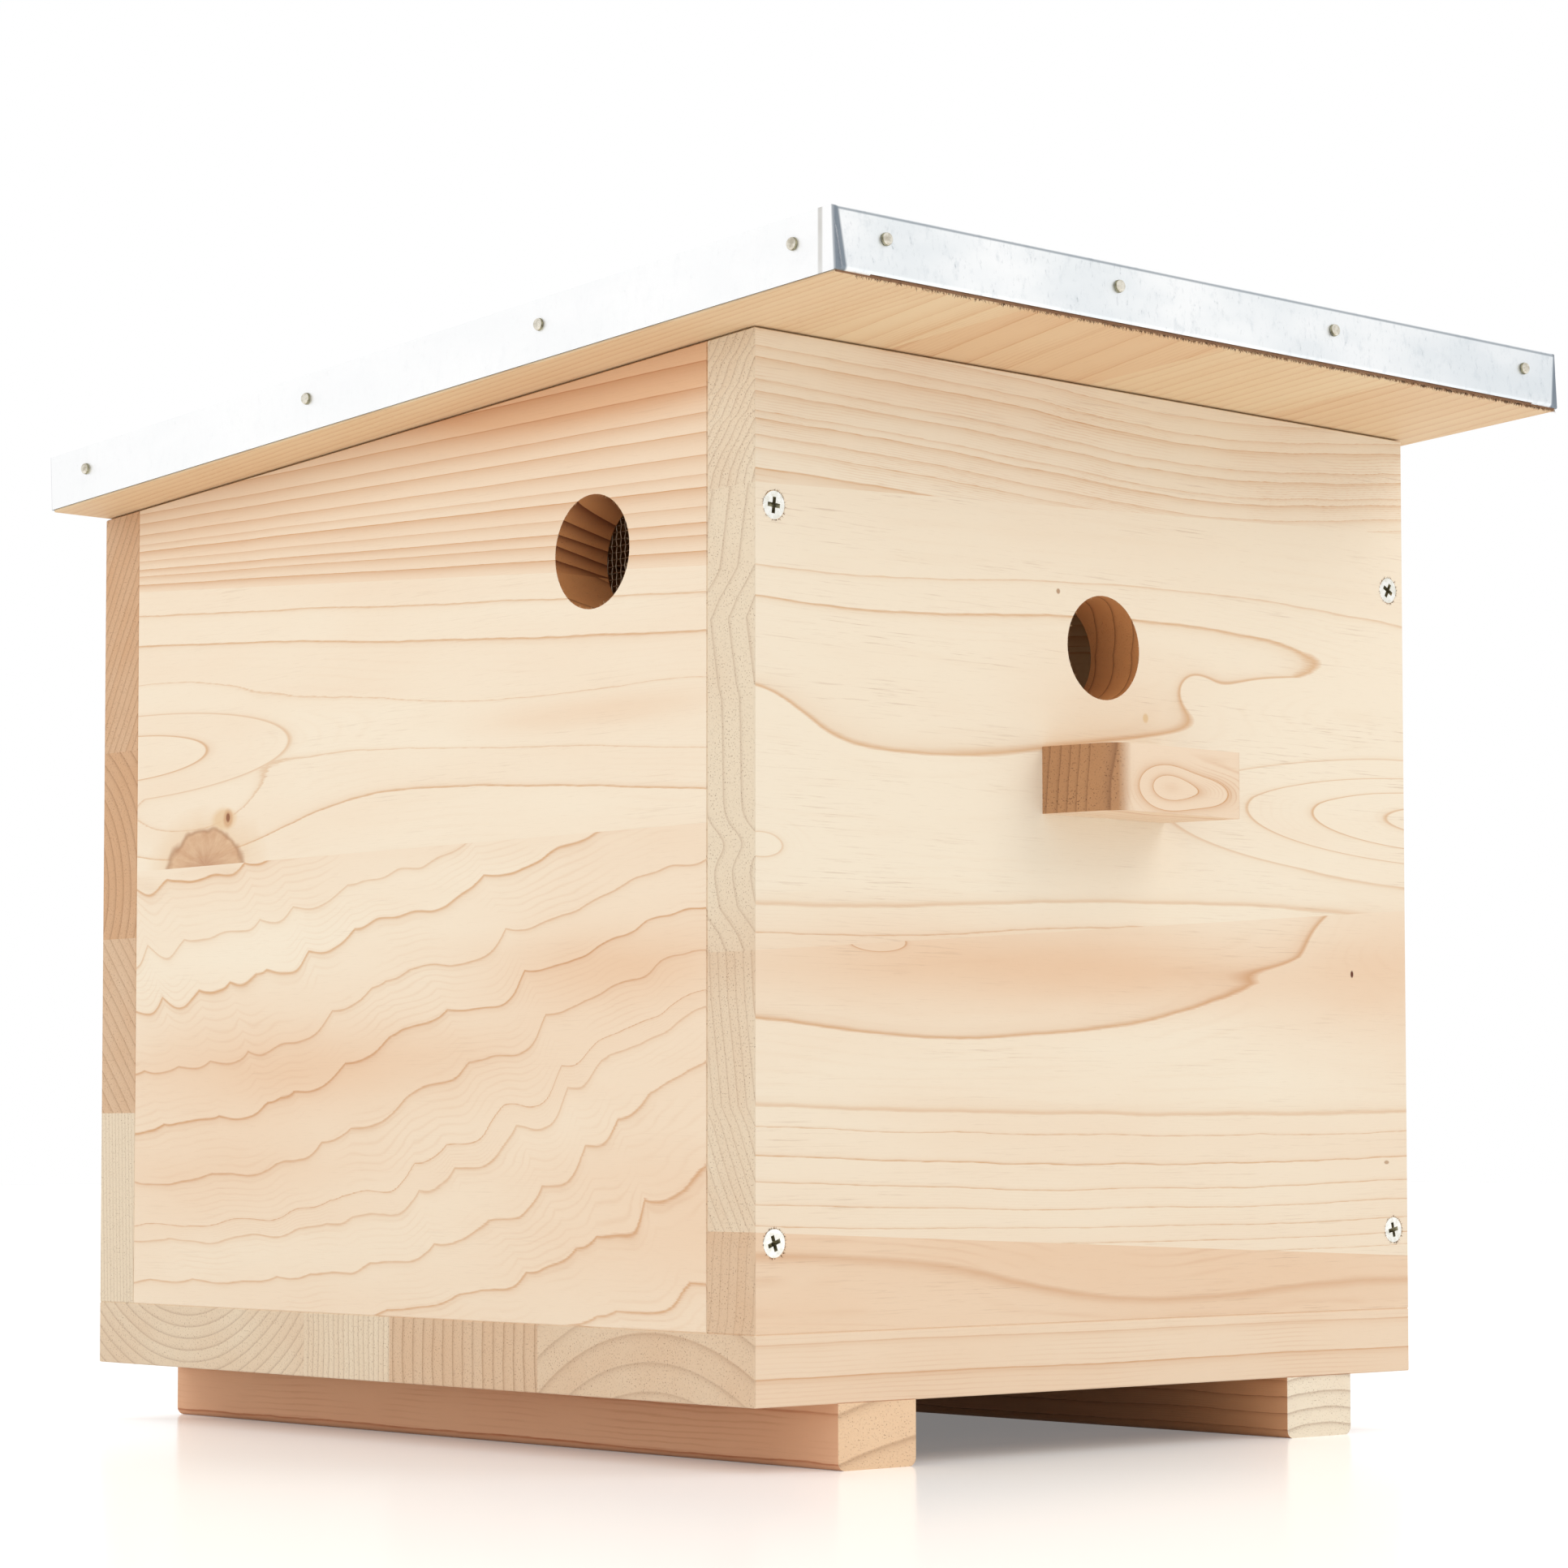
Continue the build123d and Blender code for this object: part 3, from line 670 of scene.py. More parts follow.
# %% Side panels
side_staves = [
    dict(
        seam=(155, 155, 310), warm=0.25, strong=0.75, sharp=16.0, ripple=0.14,
        lines=[
            (-40, -5), (-27, -4), (-17, -3), (-7, -2), (3, -1), (14, 0), (26, 1), (38, 2), (43, 3),
            (57, 4), (73, 5), (90, 6), (113, 7), (130, 8), (150, 9),
        ],
        humps=[((335, 112), (165, 86), 76), ((150, 104), (50, 40), 6)],
        teeth=(0.46, 34, 28.0),
    ),
    dict(
        seam=(245.3, 222.8, 310), warm=0.12, strong=0.75, sharp=16.0, ripple=0.04, tilt=-0.0724,
        streaks=0.5, depth=0.03,
        lines=[
            (150, 5), (166, 4), (185, 3), (196, 2), (201, 1.15), (208.5, 1.15), (213, 2),
            (227.5, 3), (238, 4), (246, 4.6),
        ],
        humps=[
            ((36, 166), (76, 27), -27), ((50, 211), (60, 12), 6), ((190, 196), (60, 8), -3),
            ((300, 193), (60, 9), 3),
        ],
        swells=[((8, 191), (88, 12.7), 2.5)],
    ),
    dict(
        warm=0.34, strong=0.85, sharp=1.8, ripple=0.05, wave=0.3, tilt=-0.0724, fan=(245.3, 0.0026),
        depth=0.05,
        lines=[
            (245.3, 4), (247.5, 5), (250, 6), (252, 7), (254.5, 8), (257.5, 9), (259.5, 10),
            (262.5, 11), (266, 12), (269, 13), (273, 14), (277, 15), (281, 16), (286, 17),
        ],
    ),
]
# The blush at (240, 282) is partly pink heartwood and partly painted shade under the roof's overhang.
side_blushes = [
    ((120, 92), (110, 13), 0.4), ((250, 118), (60, 12), 0.45), ((285, 50), (60, 20), 0.3),
    ((60, 60), (80, 12), 0.2), ((70, 130), (120, 16), -0.25), ((240, 282), (90, 13), 1.2),
    ((245, 189), (50, 5), 0.35),
]
side_knots = [((57, 155), (20, 11), 155)]
side_marks = [
    ((67, 169), (6.5, 3.4), (232, 200, 158), 0.8),
    ((69, 169), (2.6, 2.9), (214, 168, 126), 0.8),
    ((69, 169.3), (1.1, 1.5), (140, 84, 52), 0.9),
]
side_bores = [((VENT_ALONG, VENT_UP), VENT_RADIUS)]
left_axes = (("y", back_y, -1), ("z", floor_z, 1), ("x", box_left, 1))
right_axes = (("y", back_y, -1), ("z", floor_z, 1), ("x", box_right, -1))
left_spruce = wood(
    "left_spruce", left_axes, side_staves, side_marks, side_knots, side_blushes, side_bores, 11.0
)
right_spruce = wood("right_spruce", right_axes, side_staves, (), (), side_blushes, side_bores, 27.0)
give(left_spruce, "left_side_panel")
give(right_spruce, "right_side_panel")
print("side panels:", len(side_staves), "staves each")

# %% [markdown]
# ## Back panel, floor, runners, block and roof board
# The photograph shows only the back panel's ends: brown heartwood at the top, and a grey stave
# at the bottom whose rings stand upright. The floor board's end shows four staves. The runners
# are battens, the left one with wider rings, the right one browner on its long faces as painted
# shade, and the landing block is an offcut whose ends show upright rings. The roof board's grain
# runs from the front to the back, and its dark end grain is painted shade under the sheet's lip.

# %% Back panel
back_staves = [
    dict(
        seam=(78.8, 78.8, 270), warm=-0.1, strong=0.6, sharp=6.0, ripple=0.1, depth=0.55,
        lines=[(0, 0), (80, 1.5)],
    ),
    dict(
        seam=(134.1, 134.1, 270), warm=0.7, strong=0.8, sharp=8.0, ripple=0.2, depth=0.2,
        lines=[(70, 0), (140, 12)],
    ),
    dict(
        seam=(193.7, 193.7, 270), warm=1.0, strong=0.9, sharp=6.0, ripple=0.2, heart=(150, -30),
        ring=4.2,
    ),
    dict(warm=0.9, strong=0.9, sharp=6.0, ripple=0.2, depth=-0.3, lines=[(190, 0), (290, 17)]),
]
back_axes = (("x", box_left, 1), ("z", floor_z, 1), ("y", back_y, -1))
give(wood("back_spruce", back_axes, back_staves, seed=41.0), "back_panel")
print("back panel done")

# %% Floor board
floor_staves = [
    dict(seam=(90, 90, 270), warm=0.45, strong=0.6, sharp=8.0, ripple=0.2, heart=(40, -60), ring=7.85),
    dict(seam=(158, 158, 270), warm=0.6, strong=0.9, sharp=6.0, ripple=0.2, heart=(-60, 10), ring=4.6),
    dict(seam=(200, 200, 270), warm=0.1, strong=0.7, sharp=5.0, ripple=0.1, heart=(500, 8), ring=2.5),
    dict(warm=0.2, strong=0.7, sharp=8.0, ripple=0.1, heart=(262, 70), ring=3.6),
]
floor_axes = (("x", box_left, 1), ("y", front_y, 1), ("z", floor_z, 1))
give(wood("floor_spruce", floor_axes, floor_staves, seed=53.0), "floor_board")
print("floor board done")

# %% Runners
batten_tones = dict(
    SPRUCE, pale=(246, 206, 170), heart=(222, 160, 120), line=(204, 134, 92),
    heart_line=(176, 104, 70), end=(250, 220, 184), end_heart=(240, 200, 160),
)
runner_staves = [dict(warm=0.55, strong=1.0, sharp=16.0, heart=(-222, 67), ring=13.0)]
pale_staves = [dict(warm=0.0, strong=0.9, sharp=6.0, heart=(-90, 17), ring=4.708)]
# The right runner's long faces are browner and darker than spruce: painted shade on its inner face, which
# lies beneath the box.
right_runner_shaded_tones = dict(SPRUCE, pale=(222, 166, 122), line=(166, 106, 70), end=(250, 236, 212))
for side, staves, seed, tones in (
    ("left", runner_staves, 61.0, batten_tones), ("right", pale_staves, 67.0, right_runner_shaded_tones),
):
    runner = side + "_runner"
    runner_axes = (("y", front_y, 1), ("z", 0.0, 1), ("x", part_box(runner)[0].x, 1))
    give(wood(side + "_batten", runner_axes, staves, seed=seed, tones=tones), runner)
print("runners done")

# %% Landing block
block_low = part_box("landing_block")[0]
block_staves = [
    dict(
        warm=0.35, strong=0.85, sharp=4.0, wave=0.5, flat=-0.08, depth=0.0,
        lines=[(0, 0.6), (1.3, 1), (4.9, 2), (8, 3), (11, 4), (14.3, 5), (21.8, 6), (25, 6.35)],
        swells=[((24, 7.5), (10.5, 5.9), 2.0), ((39, 6.8), (13.5, 4.8), 1.3)],
    )
]
block_axes = (("x", block_low.x, 1), ("z", block_low.z, 1), ("y", front_y, -1))
block_tones = dict(SPRUCE, end=(204, 158, 114), end_heart=(172, 116, 76), end_line=(100, 56, 32))
block_spruce = wood(
    "block_spruce", block_axes, block_staves, seed=79.0, tones=block_tones, turning=(0.2, 0.65)
)
give(block_spruce, "landing_block")
print("landing block done")

# %% Roof board
roof_low, roof_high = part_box("roof_board")
roof_staves = [
    dict(seam=(70, 70, 300), warm=0.3, strong=0.5, sharp=3.0, lines=[(0, 0), (40, 12), (80, 16)]),
    dict(seam=(150, 150, 300), warm=0.55, strong=0.5, sharp=6.0, lines=[(60, 0), (160, 7)]),
    dict(seam=(226, 226, 300), warm=0.2, strong=0.5, sharp=4.0, lines=[(140, 0), (240, 18)]),
    dict(warm=0.35, strong=0.5, sharp=3.0, lines=[(220, 0), (310, 14)]),
]
roof_axes = (("y", roof_low.y, 1), ("x", roof_low.x, 1), ("z", roof_low.z, 1))
# The roof board's end tones are dark brown: painted shade on its sawn front edge, a thin strip beneath
# the sheet's lip.
roof_tones = dict(
    SPRUCE, pale=(241, 218, 180), heart=(228, 184, 140), end=(150, 110, 78),
    end_heart=(130, 90, 60), end_line=(84, 54, 34),
)
give(wood("roof_spruce", roof_axes, roof_staves, seed=71.0, tones=roof_tones), "roof_board")
print("roof board done")

# %% [markdown]
# ## Metals
# The cap is galvanised sheet: zinc lies on it in cloudy patches, blue grey and nearly white,
# with small dark stains where it was rubbed. Light is painted on it too: painted shade on the
# bends, on the side lips' creases and at the corners, painted shade of dents in blue grey towards
# the right end, and a painted highlight that makes the side lips whiter. Screws, hinges, nails and
# wires are plain metal, so one function serves them all; the darker metal in the screws'
# recesses and on the nails' rims is painted shade.

# %% Metals
TAB_CREASE = 5.0
LIP_SLANT = 0.14
DENT_DEPTH = 1.2 * MM


def galvanised_sheet():
    """Cloudy zinc; painted shade at bends, creases and slanted corners; a painted highlight on side lips.
    """
    finish = Finish("galvanised_sheet")
    x, y, z = finish.object_place()
    slants = finish.normal()
    towards_side = abs(slants[0]).between(0.6, 0.9)
    clouds = finish.noise((x * 0.02, y * 0.02, z * 0.05), 3.0).eased(0.35, 0.65)
    mottle = finish.noise((x * 0.25, y * 0.25, z * 0.15), 5.0, 0.7).eased(0.5, 0.72)
    specks = finish.noise((x * 1.1, y * 1.1, z * 0.45), 3.0, 0.6).between(0.6, 0.72)
    # Painted shade along a vertical line near the front of each side lip, where the lip is creased.
    crease_shade = 1.0 - abs(y - (roof_low.y / MM + TAB_CREASE)).between(0.5, 1.1)

    # Painted shade in slanted strips at the corners, where the lips lap over the side tabs.
    middle_x = (roof_low.x + roof_high.x) / 2 / MM
    half_width = (roof_high.x - roof_low.x) / 2 / MM
    below = (roof_low.y / MM - y) * tan(roof_angle) + roof_high.z / MM - z
    inwards = abs(x - middle_x) * -1.0 + half_width
    corner_wedge_shade = 1.0 - (inwards - below * LIP_SLANT).between(0.6, 1.4)
    # Painted shade on the bends of the sheet, and on its upright corners.
    fold_shade = 1.0 - abs(slants[2] - 0.45).between(0.1, 0.4)
    corner = abs(slants[0] * slants[1]).between(0.12, 0.4)

    zinc = finish.mix(clouds, (236, 240, 242), (252, 253, 253))
    # The mottle and the specks are the zinc's own. The rest is painted light: the blue grey towards the
    # right end is painted shade of its dents, the side lips get a painted highlight, and the last three
    # tints are painted shade.
    for share, tint in (
        (mottle * 0.45, (214, 220, 224)),
        (specks * (mottle * 0.6 + 0.2), (158, 166, 172)),
        (x.between(20.0, 150.0) * 0.35, (196, 207, 216)),
        (towards_side * 0.8, (255, 255, 255)),
        (crease_shade * towards_side * (clouds * 0.4 + 0.3), (186, 182, 174)),
        (corner_wedge_shade * (1.0 - towards_side) * 0.85, (96, 110, 124)),
        (fold_shade.math("MAXIMUM", corner) * 0.75, (128, 138, 148)),
    ):
        zinc = finish.mix(share, zinc, tint)
    dents = finish.noise((x * 0.035, y * 0.035, z * 0.02))
    return finish.surface(zinc, mottle * 0.15 + 0.34, 0.85, dents + mottle * 0.02, DENT_DEPTH)


def plated(name, tint, dull, roughness=0.3):
    """A plated metal, with faint duller patches in its shine."""
    finish = Finish(name)
    patches = finish.noise(finish.object_place(), scale=0.8)
    shade = finish.mix(patches.between(0.4, 0.7), tint, dull)
    return finish.surface(shade, patches * 0.2 + (roughness - 0.1), 1.0)


cap_metal = galvanised_sheet()
screw_metal = plated("zinc_plate", (248, 247, 241), (228, 226, 214), 0.26)
# The screw recesses and the nail heads' rims take a darker metal: painted shade.
recess_shade_metal = plated("recess_shade", (176, 170, 142), (112, 106, 84), 0.5)
nail_metal = plated("bright_steel", (226, 221, 208), (186, 178, 160), 0.3)
wire_metal = plated("thin_wire", (186, 172, 150), (140, 128, 108), 0.5)
staple_metal = plated("staple_wire", (214, 214, 212), (172, 170, 166), 0.3)
hinge_metal = plated("hinge_plate", (228, 226, 214), (190, 186, 170), 0.32)
give(cap_metal, "roof_sheet")
for side in ("left", "right"):
    give(hinge_metal, *(side + "_hinge_" + part for part in ("lower_leaf", "upper_leaf", "pin")))
print("metals ready")

# %% [markdown]
# ## Where the small pieces sit
# A set of screws, nails or staples is one node of separate solids. Walking along the edges of
# its mesh finds those solids, and the box round each one gives a place for a finer piece.

# %% Separate solids of a node
def solids_of(name):
    """The low and high corners of each separate solid of a node, in metres."""
    whole = bmesh.new()
    whole.from_mesh(nodes[name].data)
    whole.transform(nodes[name].matrix_world)
    bmesh.ops.remove_doubles(whole, verts=whole.verts, dist=0.000001)
    unseen = set(whole.verts)
    boxes = []
    while unseen:
        fresh = [unseen.pop()]
        corners = []
        while fresh:
            vertex = fresh.pop()
            corners.append(vertex.co.copy())
            for edge in vertex.link_edges:
                other = edge.other_vert(vertex)
                if other in unseen:
                    unseen.discard(other)
                    fresh.append(other)
        boxes.append((Vector(map(min, *corners)), Vector(map(max, *corners))))
    whole.free()
    return sorted(boxes, key=lambda box: tuple(round(part, 4) for part in box[0]))


def pour(mesh, whole):
    """Adds one bmesh to another, and frees it."""
    data = mesh_data("poured", mesh)
    whole.from_mesh(data)
    bpy.data.meshes.remove(data)


def finished_piece(name, mesh, material, body, slot, *replaced):
    """Turns a bmesh into a piece of the scene that rides a body."""
    bmesh.ops.recalc_face_normals(mesh, faces=mesh.faces)
    piece = new_object(name, mesh_data(name, mesh))
    piece.data.materials.append(material)
    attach(piece, body)
    if replaced:
        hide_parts(*replaced)
    return piece


def facing(middle, out, turn=0.0, lean=0.0):
    """A matrix that lays local z along out, turned about it, and leans it a little."""
    stand = out.to_track_quat("Z", "Y").to_matrix().to_4x4()
    leant = Matrix.Rotation(lean, 4, "X")
    turned = Matrix.Rotation(turn, 4, "Z")
    return Matrix.Translation(middle) @ stand @ leant @ turned


print("front screws:", len(solids_of("front_panel_screws")), "nails:", len(solids_of("roof_nails")))

# %% [markdown]
# ## Screws
# A countersunk screw has a flat head with a cross pressed into it, a cone below and a pointed
# shank, whose thread is left out because it never shows. The head starts as a circle. Its edge
# is extruded again and again: inwards to the cross, down its walls and onto its floor, and from
# the rim down the cone and the shank. Every screw is turned its own way and leans a little.

# %% Screws
CROSS_ARM = 0.54
CROSS_HALF = CROSS_ARM * tan(pi / 12)
SCREW_SEGMENTS = 48
SHANK_SHARE = 0.51
FRONT_LEANS, USUAL_LEAN = (0.05, 0.06, -0.02, 0.02), 0.01


def cross_edge(angle):
    """How far the edge of the cross is from its middle, as a share of the head's radius."""
    side, reach = sorted((abs(cos(angle)), abs(sin(angle))))
    if side * CROSS_ARM <= reach * CROSS_HALF:
        return CROSS_ARM / reach
    return CROSS_HALF / side


def next_ring(mesh, ring, height, radius_at):
    """Extrudes a ring of edges to another height, with the radius that each angle asks for."""
    edges = {edge for vertex in ring for edge in vertex.link_edges if edge.other_vert(vertex) in ring}
    grown = bmesh.ops.extrude_edge_only(mesh, edges=list(edges))["geom"]
    fresh = [item for item in grown if isinstance(item, bmesh.types.BMVert)]
    for vertex in fresh:
        angle = atan2(vertex.co.y, vertex.co.x)
        radius = radius_at(angle)
        vertex.co = Vector((radius * cos(angle), radius * sin(angle), height))
    return fresh


def screw_mesh(head, shank, length):
    """One screw, its head level with local z 0 and its point below."""
    screw = bmesh.new()
    rim_fall = 0.03 * head
    rim = bmesh.ops.create_circle(screw, segments=SCREW_SEGMENTS, radius=head * 0.97)["verts"]
    cross = next_ring(screw, rim, -rim_fall * 0.4, lambda angle: head * cross_edge(angle) * 1.06)
    flat_faces = set(screw.faces)
    wall = next_ring(screw, cross, -0.06 * head, lambda angle: head * cross_edge(angle))
    deep = next_ring(screw, wall, -0.42 * head, lambda angle: head * cross_edge(angle) * 0.62)
    bmesh.ops.contextual_create(screw, geom=deep)
    for face in screw.faces:
        face.material_index = 0 if face in flat_faces else 1
    ring = next_ring(screw, rim, -rim_fall, lambda angle: head)
    outline = (
        (shank - head, shank),
        (-length * 0.35, shank * 0.97),
        (2.4 * shank - length, shank * 0.9),
        (-length, shank * 0.04),
    )
    for height, radius in outline:
        ring = next_ring(screw, ring, height, lambda angle: radius)
    bmesh.ops.contextual_create(screw, geom=ring)
    return screw


def drive_screws(name, body, out, leans=()):
    """Finer screws in the place of one node's, with their heads towards out."""
    together = bmesh.new()
    for number, (low, high) in enumerate(solids_of(name)):
        middle = (low + high) / 2
        spans = list(high - low)
        length = spans.pop(max(range(3), key=lambda axis: abs(out[axis])))
        head = min(spans) / 2
        one = screw_mesh(head, head * SHANK_SHARE, length)
        lean = leans[number] if number < len(leans) else USUAL_LEAN
        turn = chance.uniform(0, pi / 2)
        one.transform(facing(middle + out * (length / 2), out, turn, lean))
        pour(one, together)
    piece = finished_piece(name + "_cross", together, screw_metal, body, "zinc", name)
    # The cross recess takes the darker metal, painted shade.
    piece.data.materials.append(recess_shade_metal)


chance = random.Random(8)
towards_front, towards_back = Vector((0, -1, 0)), Vector((0, 1, 0))
downwards = Vector((0, 0, -1))
down_the_roof = Vector((0, cos(roof_angle), -sin(roof_angle)))
drive_screws("front_panel_screws", "root", towards_front, FRONT_LEANS)
drive_screws("back_panel_screws", "root", towards_back)
drive_screws("floor_board_screws", "root", downwards)
drive_screws("runner_screws", "root", downwards)
drive_screws("landing_block_screws", "root", towards_back)
drive_screws("hinge_lower_screws", "root", towards_back)
drive_screws("hinge_upper_screws", "roof", down_the_roof)
print("screws driven")

# %% [markdown]
# ## Roof nails
# The nails have a thick head with a wide rounded rim, and a plain tapered shank. Each is two
# short cylinders, the upper one with a bevelled top, set at a slight lean.

# %% Roof nails
HEAD_THICKNESS, HEAD_ROUNDING = 0.72, 0.5


def nail_mesh(head, length):
    """One nail, the top of its head at local z 0. Sizes follow the head's radius."""
    thickness = head * HEAD_THICKNESS
    nail = bmesh.new()
    bmesh.ops.create_cone(
        nail, cap_ends=True, segments=28, radius1=head, radius2=head * 0.96, depth=thickness,
        matrix=Matrix.Translation((0, 0, -thickness / 2)),
    )
    top = [edge for edge in nail.edges if all(vertex.co.z > -0.01 * MM for vertex in edge.verts)]
    bmesh.ops.bevel(
        nail, geom=top, offset=head * HEAD_ROUNDING, offset_type="OFFSET", segments=5, profile=0.5,
        affect="EDGES", material=-1,
    )
    bmesh.ops.create_cone(
        nail, cap_ends=True, segments=16, radius1=head * 0.2, radius2=head * 0.5,
        depth=length - thickness, matrix=Matrix.Translation((0, 0, -(length + thickness) / 2)),
    )
    nail.normal_update()
    for face in nail.faces:
        face.material_index = 1 if abs(face.normal.z) < 0.3 else 0
    return nail


nail_set = bmesh.new()
for low, high in solids_of("roof_nails"):
    spans = high - low
    longest = 0 if spans.x >= spans.y else 1
    middle = (low + high) / 2
    out = Vector((1, 0, 0)) if longest == 0 else down_the_roof.copy()
    if middle[longest] < 0:
        out.negate()
    nail = nail_mesh(spans[1 - longest] / 2, spans[longest])
    lean = chance.uniform(-0.06, 0.06)
    nail.transform(facing(middle + out * (spans[longest] / 2), out, 0.0, lean))
    pour(nail, nail_set)
nails = finished_piece("roof_nails_rounded", nail_set, nail_metal, "roof", "nail_steel", "roof_nails")
# The head's rim and the shank take the darker metal, painted shade.
nails.data.materials.append(recess_shade_metal)
print("nails driven")

# %% [markdown]
# ## Vent mesh and staples
# The mesh is woven: each wire passes over one crossing wire and under the next. One wire is a
# zigzag line that a round section follows, and the net is that wire repeated both ways. Four
# staples hold it, each a wire bent twice.

# %% Wire net and staples
WIRE_SPACING = 1.9 * MM
WIRE_RADIUS = 0.15 * MM
WIRE_SWAY = 0.12
STAPLE_RADIUS = 0.45 * MM
STAPLE_BEND = STAPLE_RADIUS * 1.6
BEND_STEPS = 6


def wire_mesh(lines, radius, sides):
    """A mesh of round wires along lists of points."""
    curve = bpy.data.curves.new("wires", "CURVE")
    curve.dimensions = "3D"
    curve.bevel_depth = radius
    curve.bevel_resolution = sides
    for points in lines:
        spline = curve.splines.new("POLY")
        spline.points.add(len(points) - 1)
        for point, place in zip(spline.points, points):
            point.co = (*place, 1.0)
    holder = bpy.data.objects.new("wires", curve)
    data = bpy.data.meshes.new_from_object(holder)
    bpy.data.objects.remove(holder)
    bpy.data.curves.remove(curve)
    wires = bmesh.new()
    wires.from_mesh(data)
    bpy.data.meshes.remove(data)
    return wires


def net_lines(size):
    """Zigzag wires both ways over a square."""
    count = int(size / WIRE_SPACING)
    start = -WIRE_SPACING * (count - 1) / 2
    lines = []
    for upright in (False, True):
        for row in range(count):
            across = start + row * WIRE_SPACING
            points = []
            for step in range(-1, count + 1):
                lift = WIRE_RADIUS * (1 if (row + step + upright) % 2 else -1)
                swayed = across + chance.uniform(-WIRE_SWAY, WIRE_SWAY) * MM
                along = max(-size / 2, min(size / 2, start + step * WIRE_SPACING))
                points.append((swayed, along, lift) if upright else (along, swayed, lift))
            lines.append(points)
    return lines


def staple_line(crown, leg):
    """The middle line of a staple: local y along its crown, its legs along -z."""
    half = crown / 2 - STAPLE_RADIUS
    shoulder = -STAPLE_BEND - STAPLE_RADIUS
    corner = []
    for step in range(1, BEND_STEPS):
        angle = step / BEND_STEPS * pi / 2
        side, rise = STAPLE_BEND * cos(angle), STAPLE_BEND * sin(angle)
        corner.append((half - STAPLE_BEND + side, shoulder + rise))
    arm = [(half, -leg), (half, shoulder)] + corner
    return [(0, -y, z) for y, z in arm] + [(0, y, z) for y, z in reversed(arm)]


for side_name, inward in (("left", Vector((1, 0, 0))), ("right", Vector((-1, 0, 0)))):
    mesh_node, staple_node = side_name + "_vent_mesh", side_name + "_vent_staples"
    net_low, net_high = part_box(mesh_node)
    net = wire_mesh(net_lines(net_high.y - net_low.y), WIRE_RADIUS, 1)
    net.transform(facing((net_low + net_high) / 2, inward))
    finished_piece(side_name + "_woven_net", net, wire_metal, "root", "mesh_wire", mesh_node)

    bent = bmesh.new()
    for low, high in solids_of(staple_node):
        spans = high - low
        one = wire_mesh([staple_line(spans.z, spans.x)], STAPLE_RADIUS, 2)
        one.transform(facing((low + high) / 2 + inward * (spans.x / 2), inward))
        pour(one, bent)
    finished_piece(side_name + "_bent_staples", bent, staple_metal, "root", "staple_wire", staple_node)
print("nets and staples done")

# %% [markdown]
# ## Torn fibres
# A drill and a saw leave short fibres standing at the edge of a cut. Round the drilled holes
# they are pale, round the screw heads dark, and along the roof board's sawn front edge they are
# dark crumbs that hang below the lip. Each is a thin three-sided splinter.

# %% Splinters
def splinter(mesh, root, tip, half_width):
    """A sliver from its root to its tip."""
    along = (tip - root).normalized()
    sideways = along.orthogonal().normalized()
    other = along.cross(sideways)
    base = []
    for step in range(3):
        angle = step * 2 * pi / 3
        offset = sideways * cos(angle) + other * sin(angle)
        base.append(mesh.verts.new(root + offset * half_width))
    point = mesh.verts.new(tip)
    mesh.faces.new(base)
    for step in range(3):
        mesh.faces.new((base[step], base[(step + 1) % 3], point))


def fibre_finish(name, tint, dark):
    """Dry wood fibre, in two tones."""
    finish = Finish(name)
    along = finish.noise(finish.object_place(), scale=0.6).between(0.4, 0.6)
    return finish.surface(finish.mix(along, tint, dark), 0.8)


def torn_rim(mesh, middle, out, radius, count, inwards):
    """Splinters round a circle on a face, lying in towards its middle or out over the face."""
    stand = facing(middle, out)
    sign = -1 if inwards else 1
    for _ in range(count):
        angle = chance.uniform(0, 2 * pi)
        length = LONGEST_SPLINTER * chance.uniform(0.2, 1.0) ** 2
        bent = angle + chance.uniform(-0.5, 0.5)
        foot = Vector((cos(angle), sin(angle), 0)) * radius
        reach = Vector((cos(bent) * sign, sin(bent) * sign, chance.uniform(0.0, 0.5)))
        root = stand @ foot
        tip = stand @ (foot + reach.normalized() * length)
        splinter(mesh, root, tip, chance.uniform(0.03, 0.1) * MM)


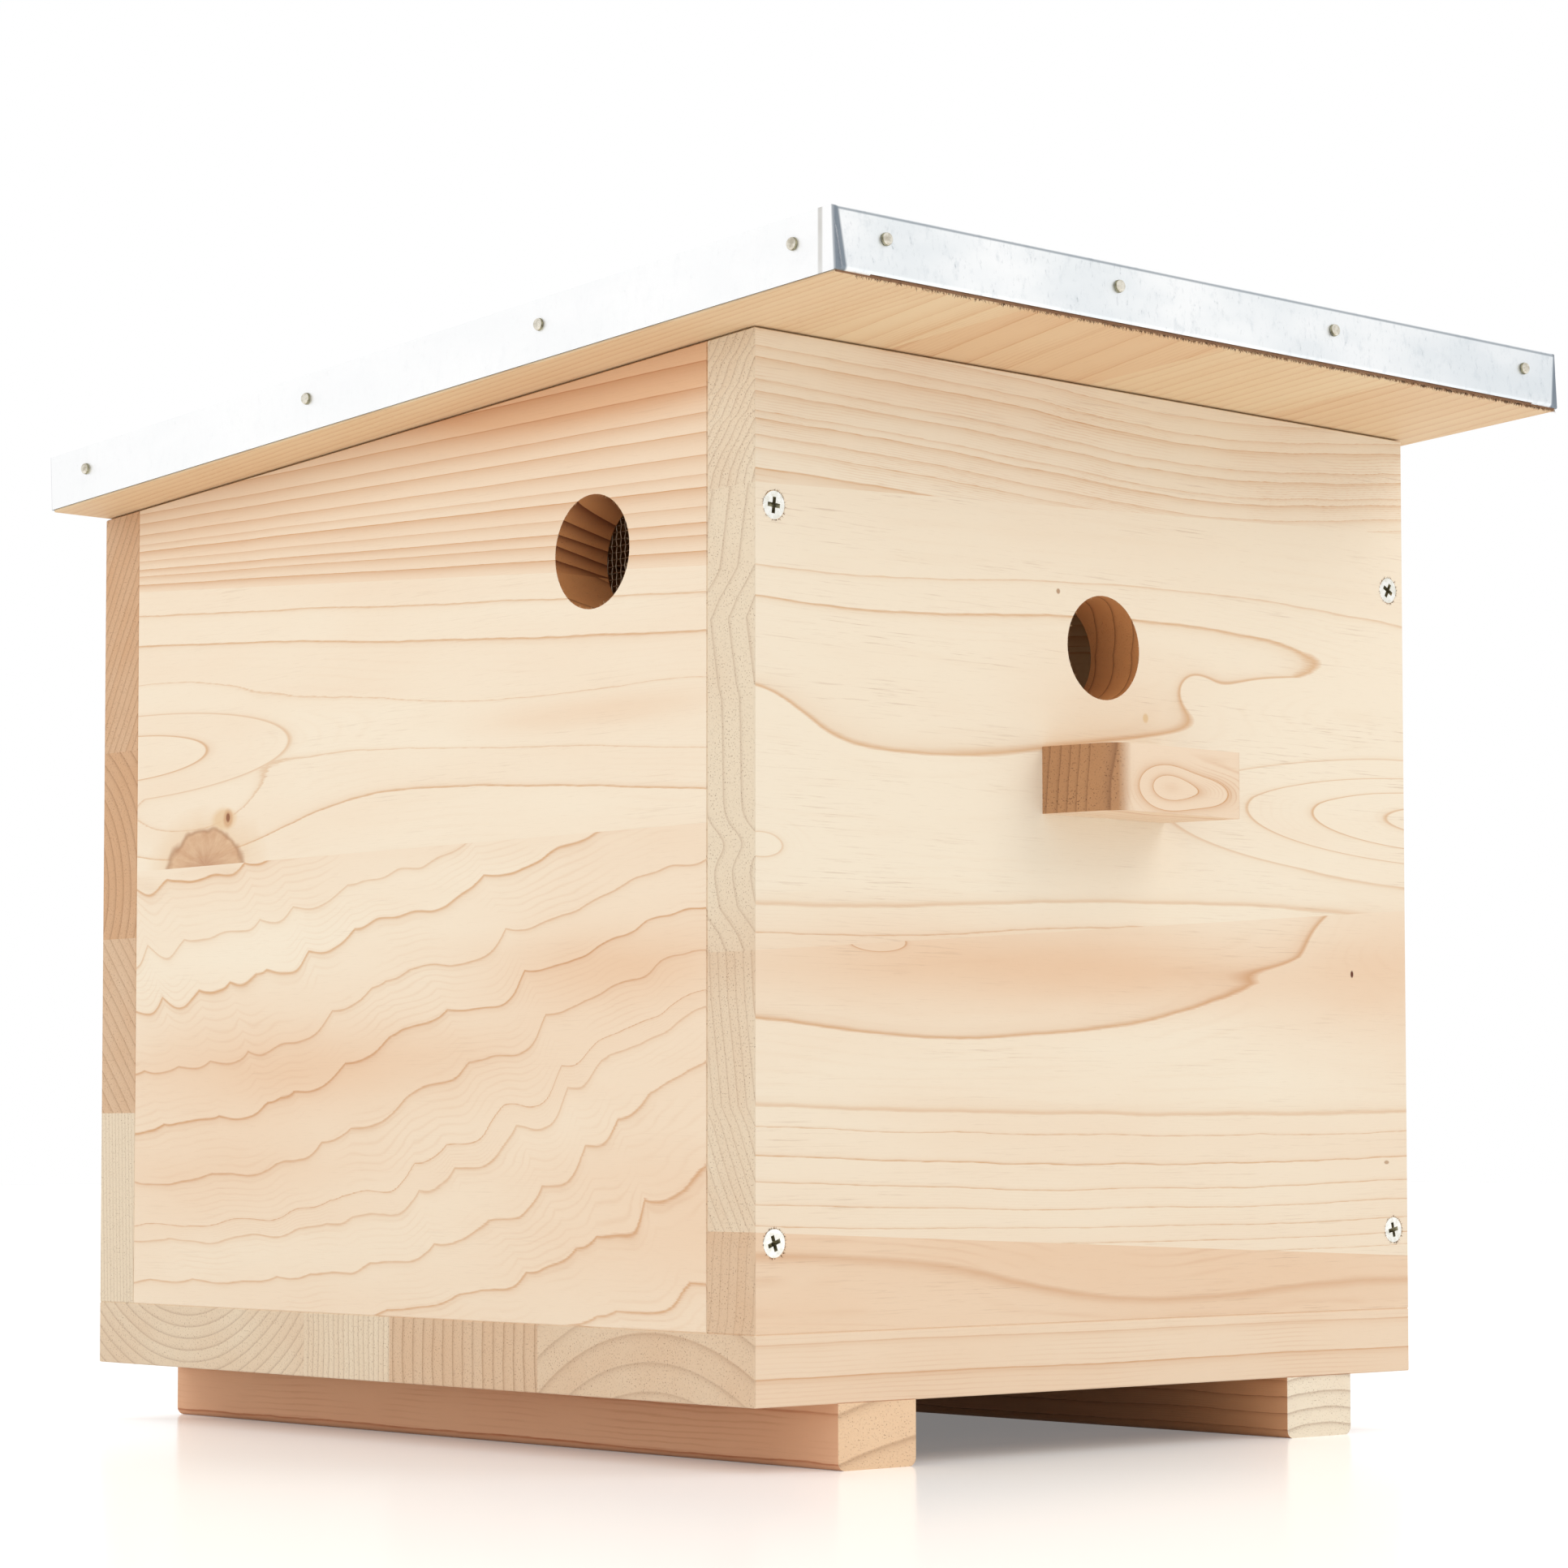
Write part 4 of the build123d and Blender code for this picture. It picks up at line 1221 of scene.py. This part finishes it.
LONGEST_SPLINTER = 1.0 * MM
HOLE_SPLINTERS, SCREW_SPLINTERS, EDGE_SPLINTERS = 160, 110, 2600
pale_fibre = fibre_finish("pale_fibre", (226, 198, 160), (184, 142, 98))
dark_fibre = fibre_finish("dark_fibre", (150, 112, 78), (84, 56, 36))
print("splinters ready")

# %% Torn rims of holes and screws
rims = bmesh.new()
torn_rim(rims, entrance_middle, towards_front, ENTRANCE_RADIUS * MM, HOLE_SPLINTERS, True)
torn_rim(rims, vent_middle, Vector((-1, 0, 0)), VENT_RADIUS * MM, HOLE_SPLINTERS, True)
finished_piece("torn_hole_rims", rims, pale_fibre, "root", "spruce")

crumbs = bmesh.new()
for low, high in solids_of("front_panel_screws"):
    middle = Vector(((low.x + high.x) / 2, front_y, (low.z + high.z) / 2))
    torn_rim(crumbs, middle, towards_front, (high.x - low.x) / 2, SCREW_SPLINTERS, False)
finished_piece("torn_screw_rims", crumbs, dark_fibre, "root", "spruce")
print("rims torn")

# %% [markdown]
# The roof board's front edge is square to its slope, so its lowest line isn't at the bottom of
# the board's box. The board's box gives its thickness first: a slab of length L and thickness
# T that is tilted by an angle a is L cos a + T sin a deep and L sin a + T cos a high. Few
# splinters hang at the left end of the edge and many at the right.

# %% Torn edge of the roof board
board_depth, board_height = roof_high.y - roof_low.y, roof_high.z - roof_low.z
board_thick = board_height * cos(roof_angle) - board_depth * sin(roof_angle)
board_thick /= cos(roof_angle) ** 2 - sin(roof_angle) ** 2
saw_edge_z = roof_high.z - board_thick * cos(roof_angle)
fringe = bmesh.new()
for _ in range(EDGE_SPLINTERS):
    share = chance.uniform(0.02, 1.0)
    if chance.random() > 0.25 + 0.75 * share:
        continue
    root = Vector((roof_low.x + (roof_high.x - roof_low.x) * share, roof_low.y, saw_edge_z))
    root.y += chance.uniform(0.0, 0.5) * MM
    root.z += chance.uniform(0.0, 0.3) * MM
    drop = Vector((chance.uniform(-0.8, 0.8), chance.uniform(-0.6, 0.4), -1)).normalized()
    tip = root + drop * chance.uniform(0.3, 1.2) * MM
    splinter(fringe, root, tip, chance.uniform(0.05, 0.14) * MM)
finished_piece("torn_roof_edge", fringe, dark_fibre, "roof", "roof_wood")
print("roof edge torn")
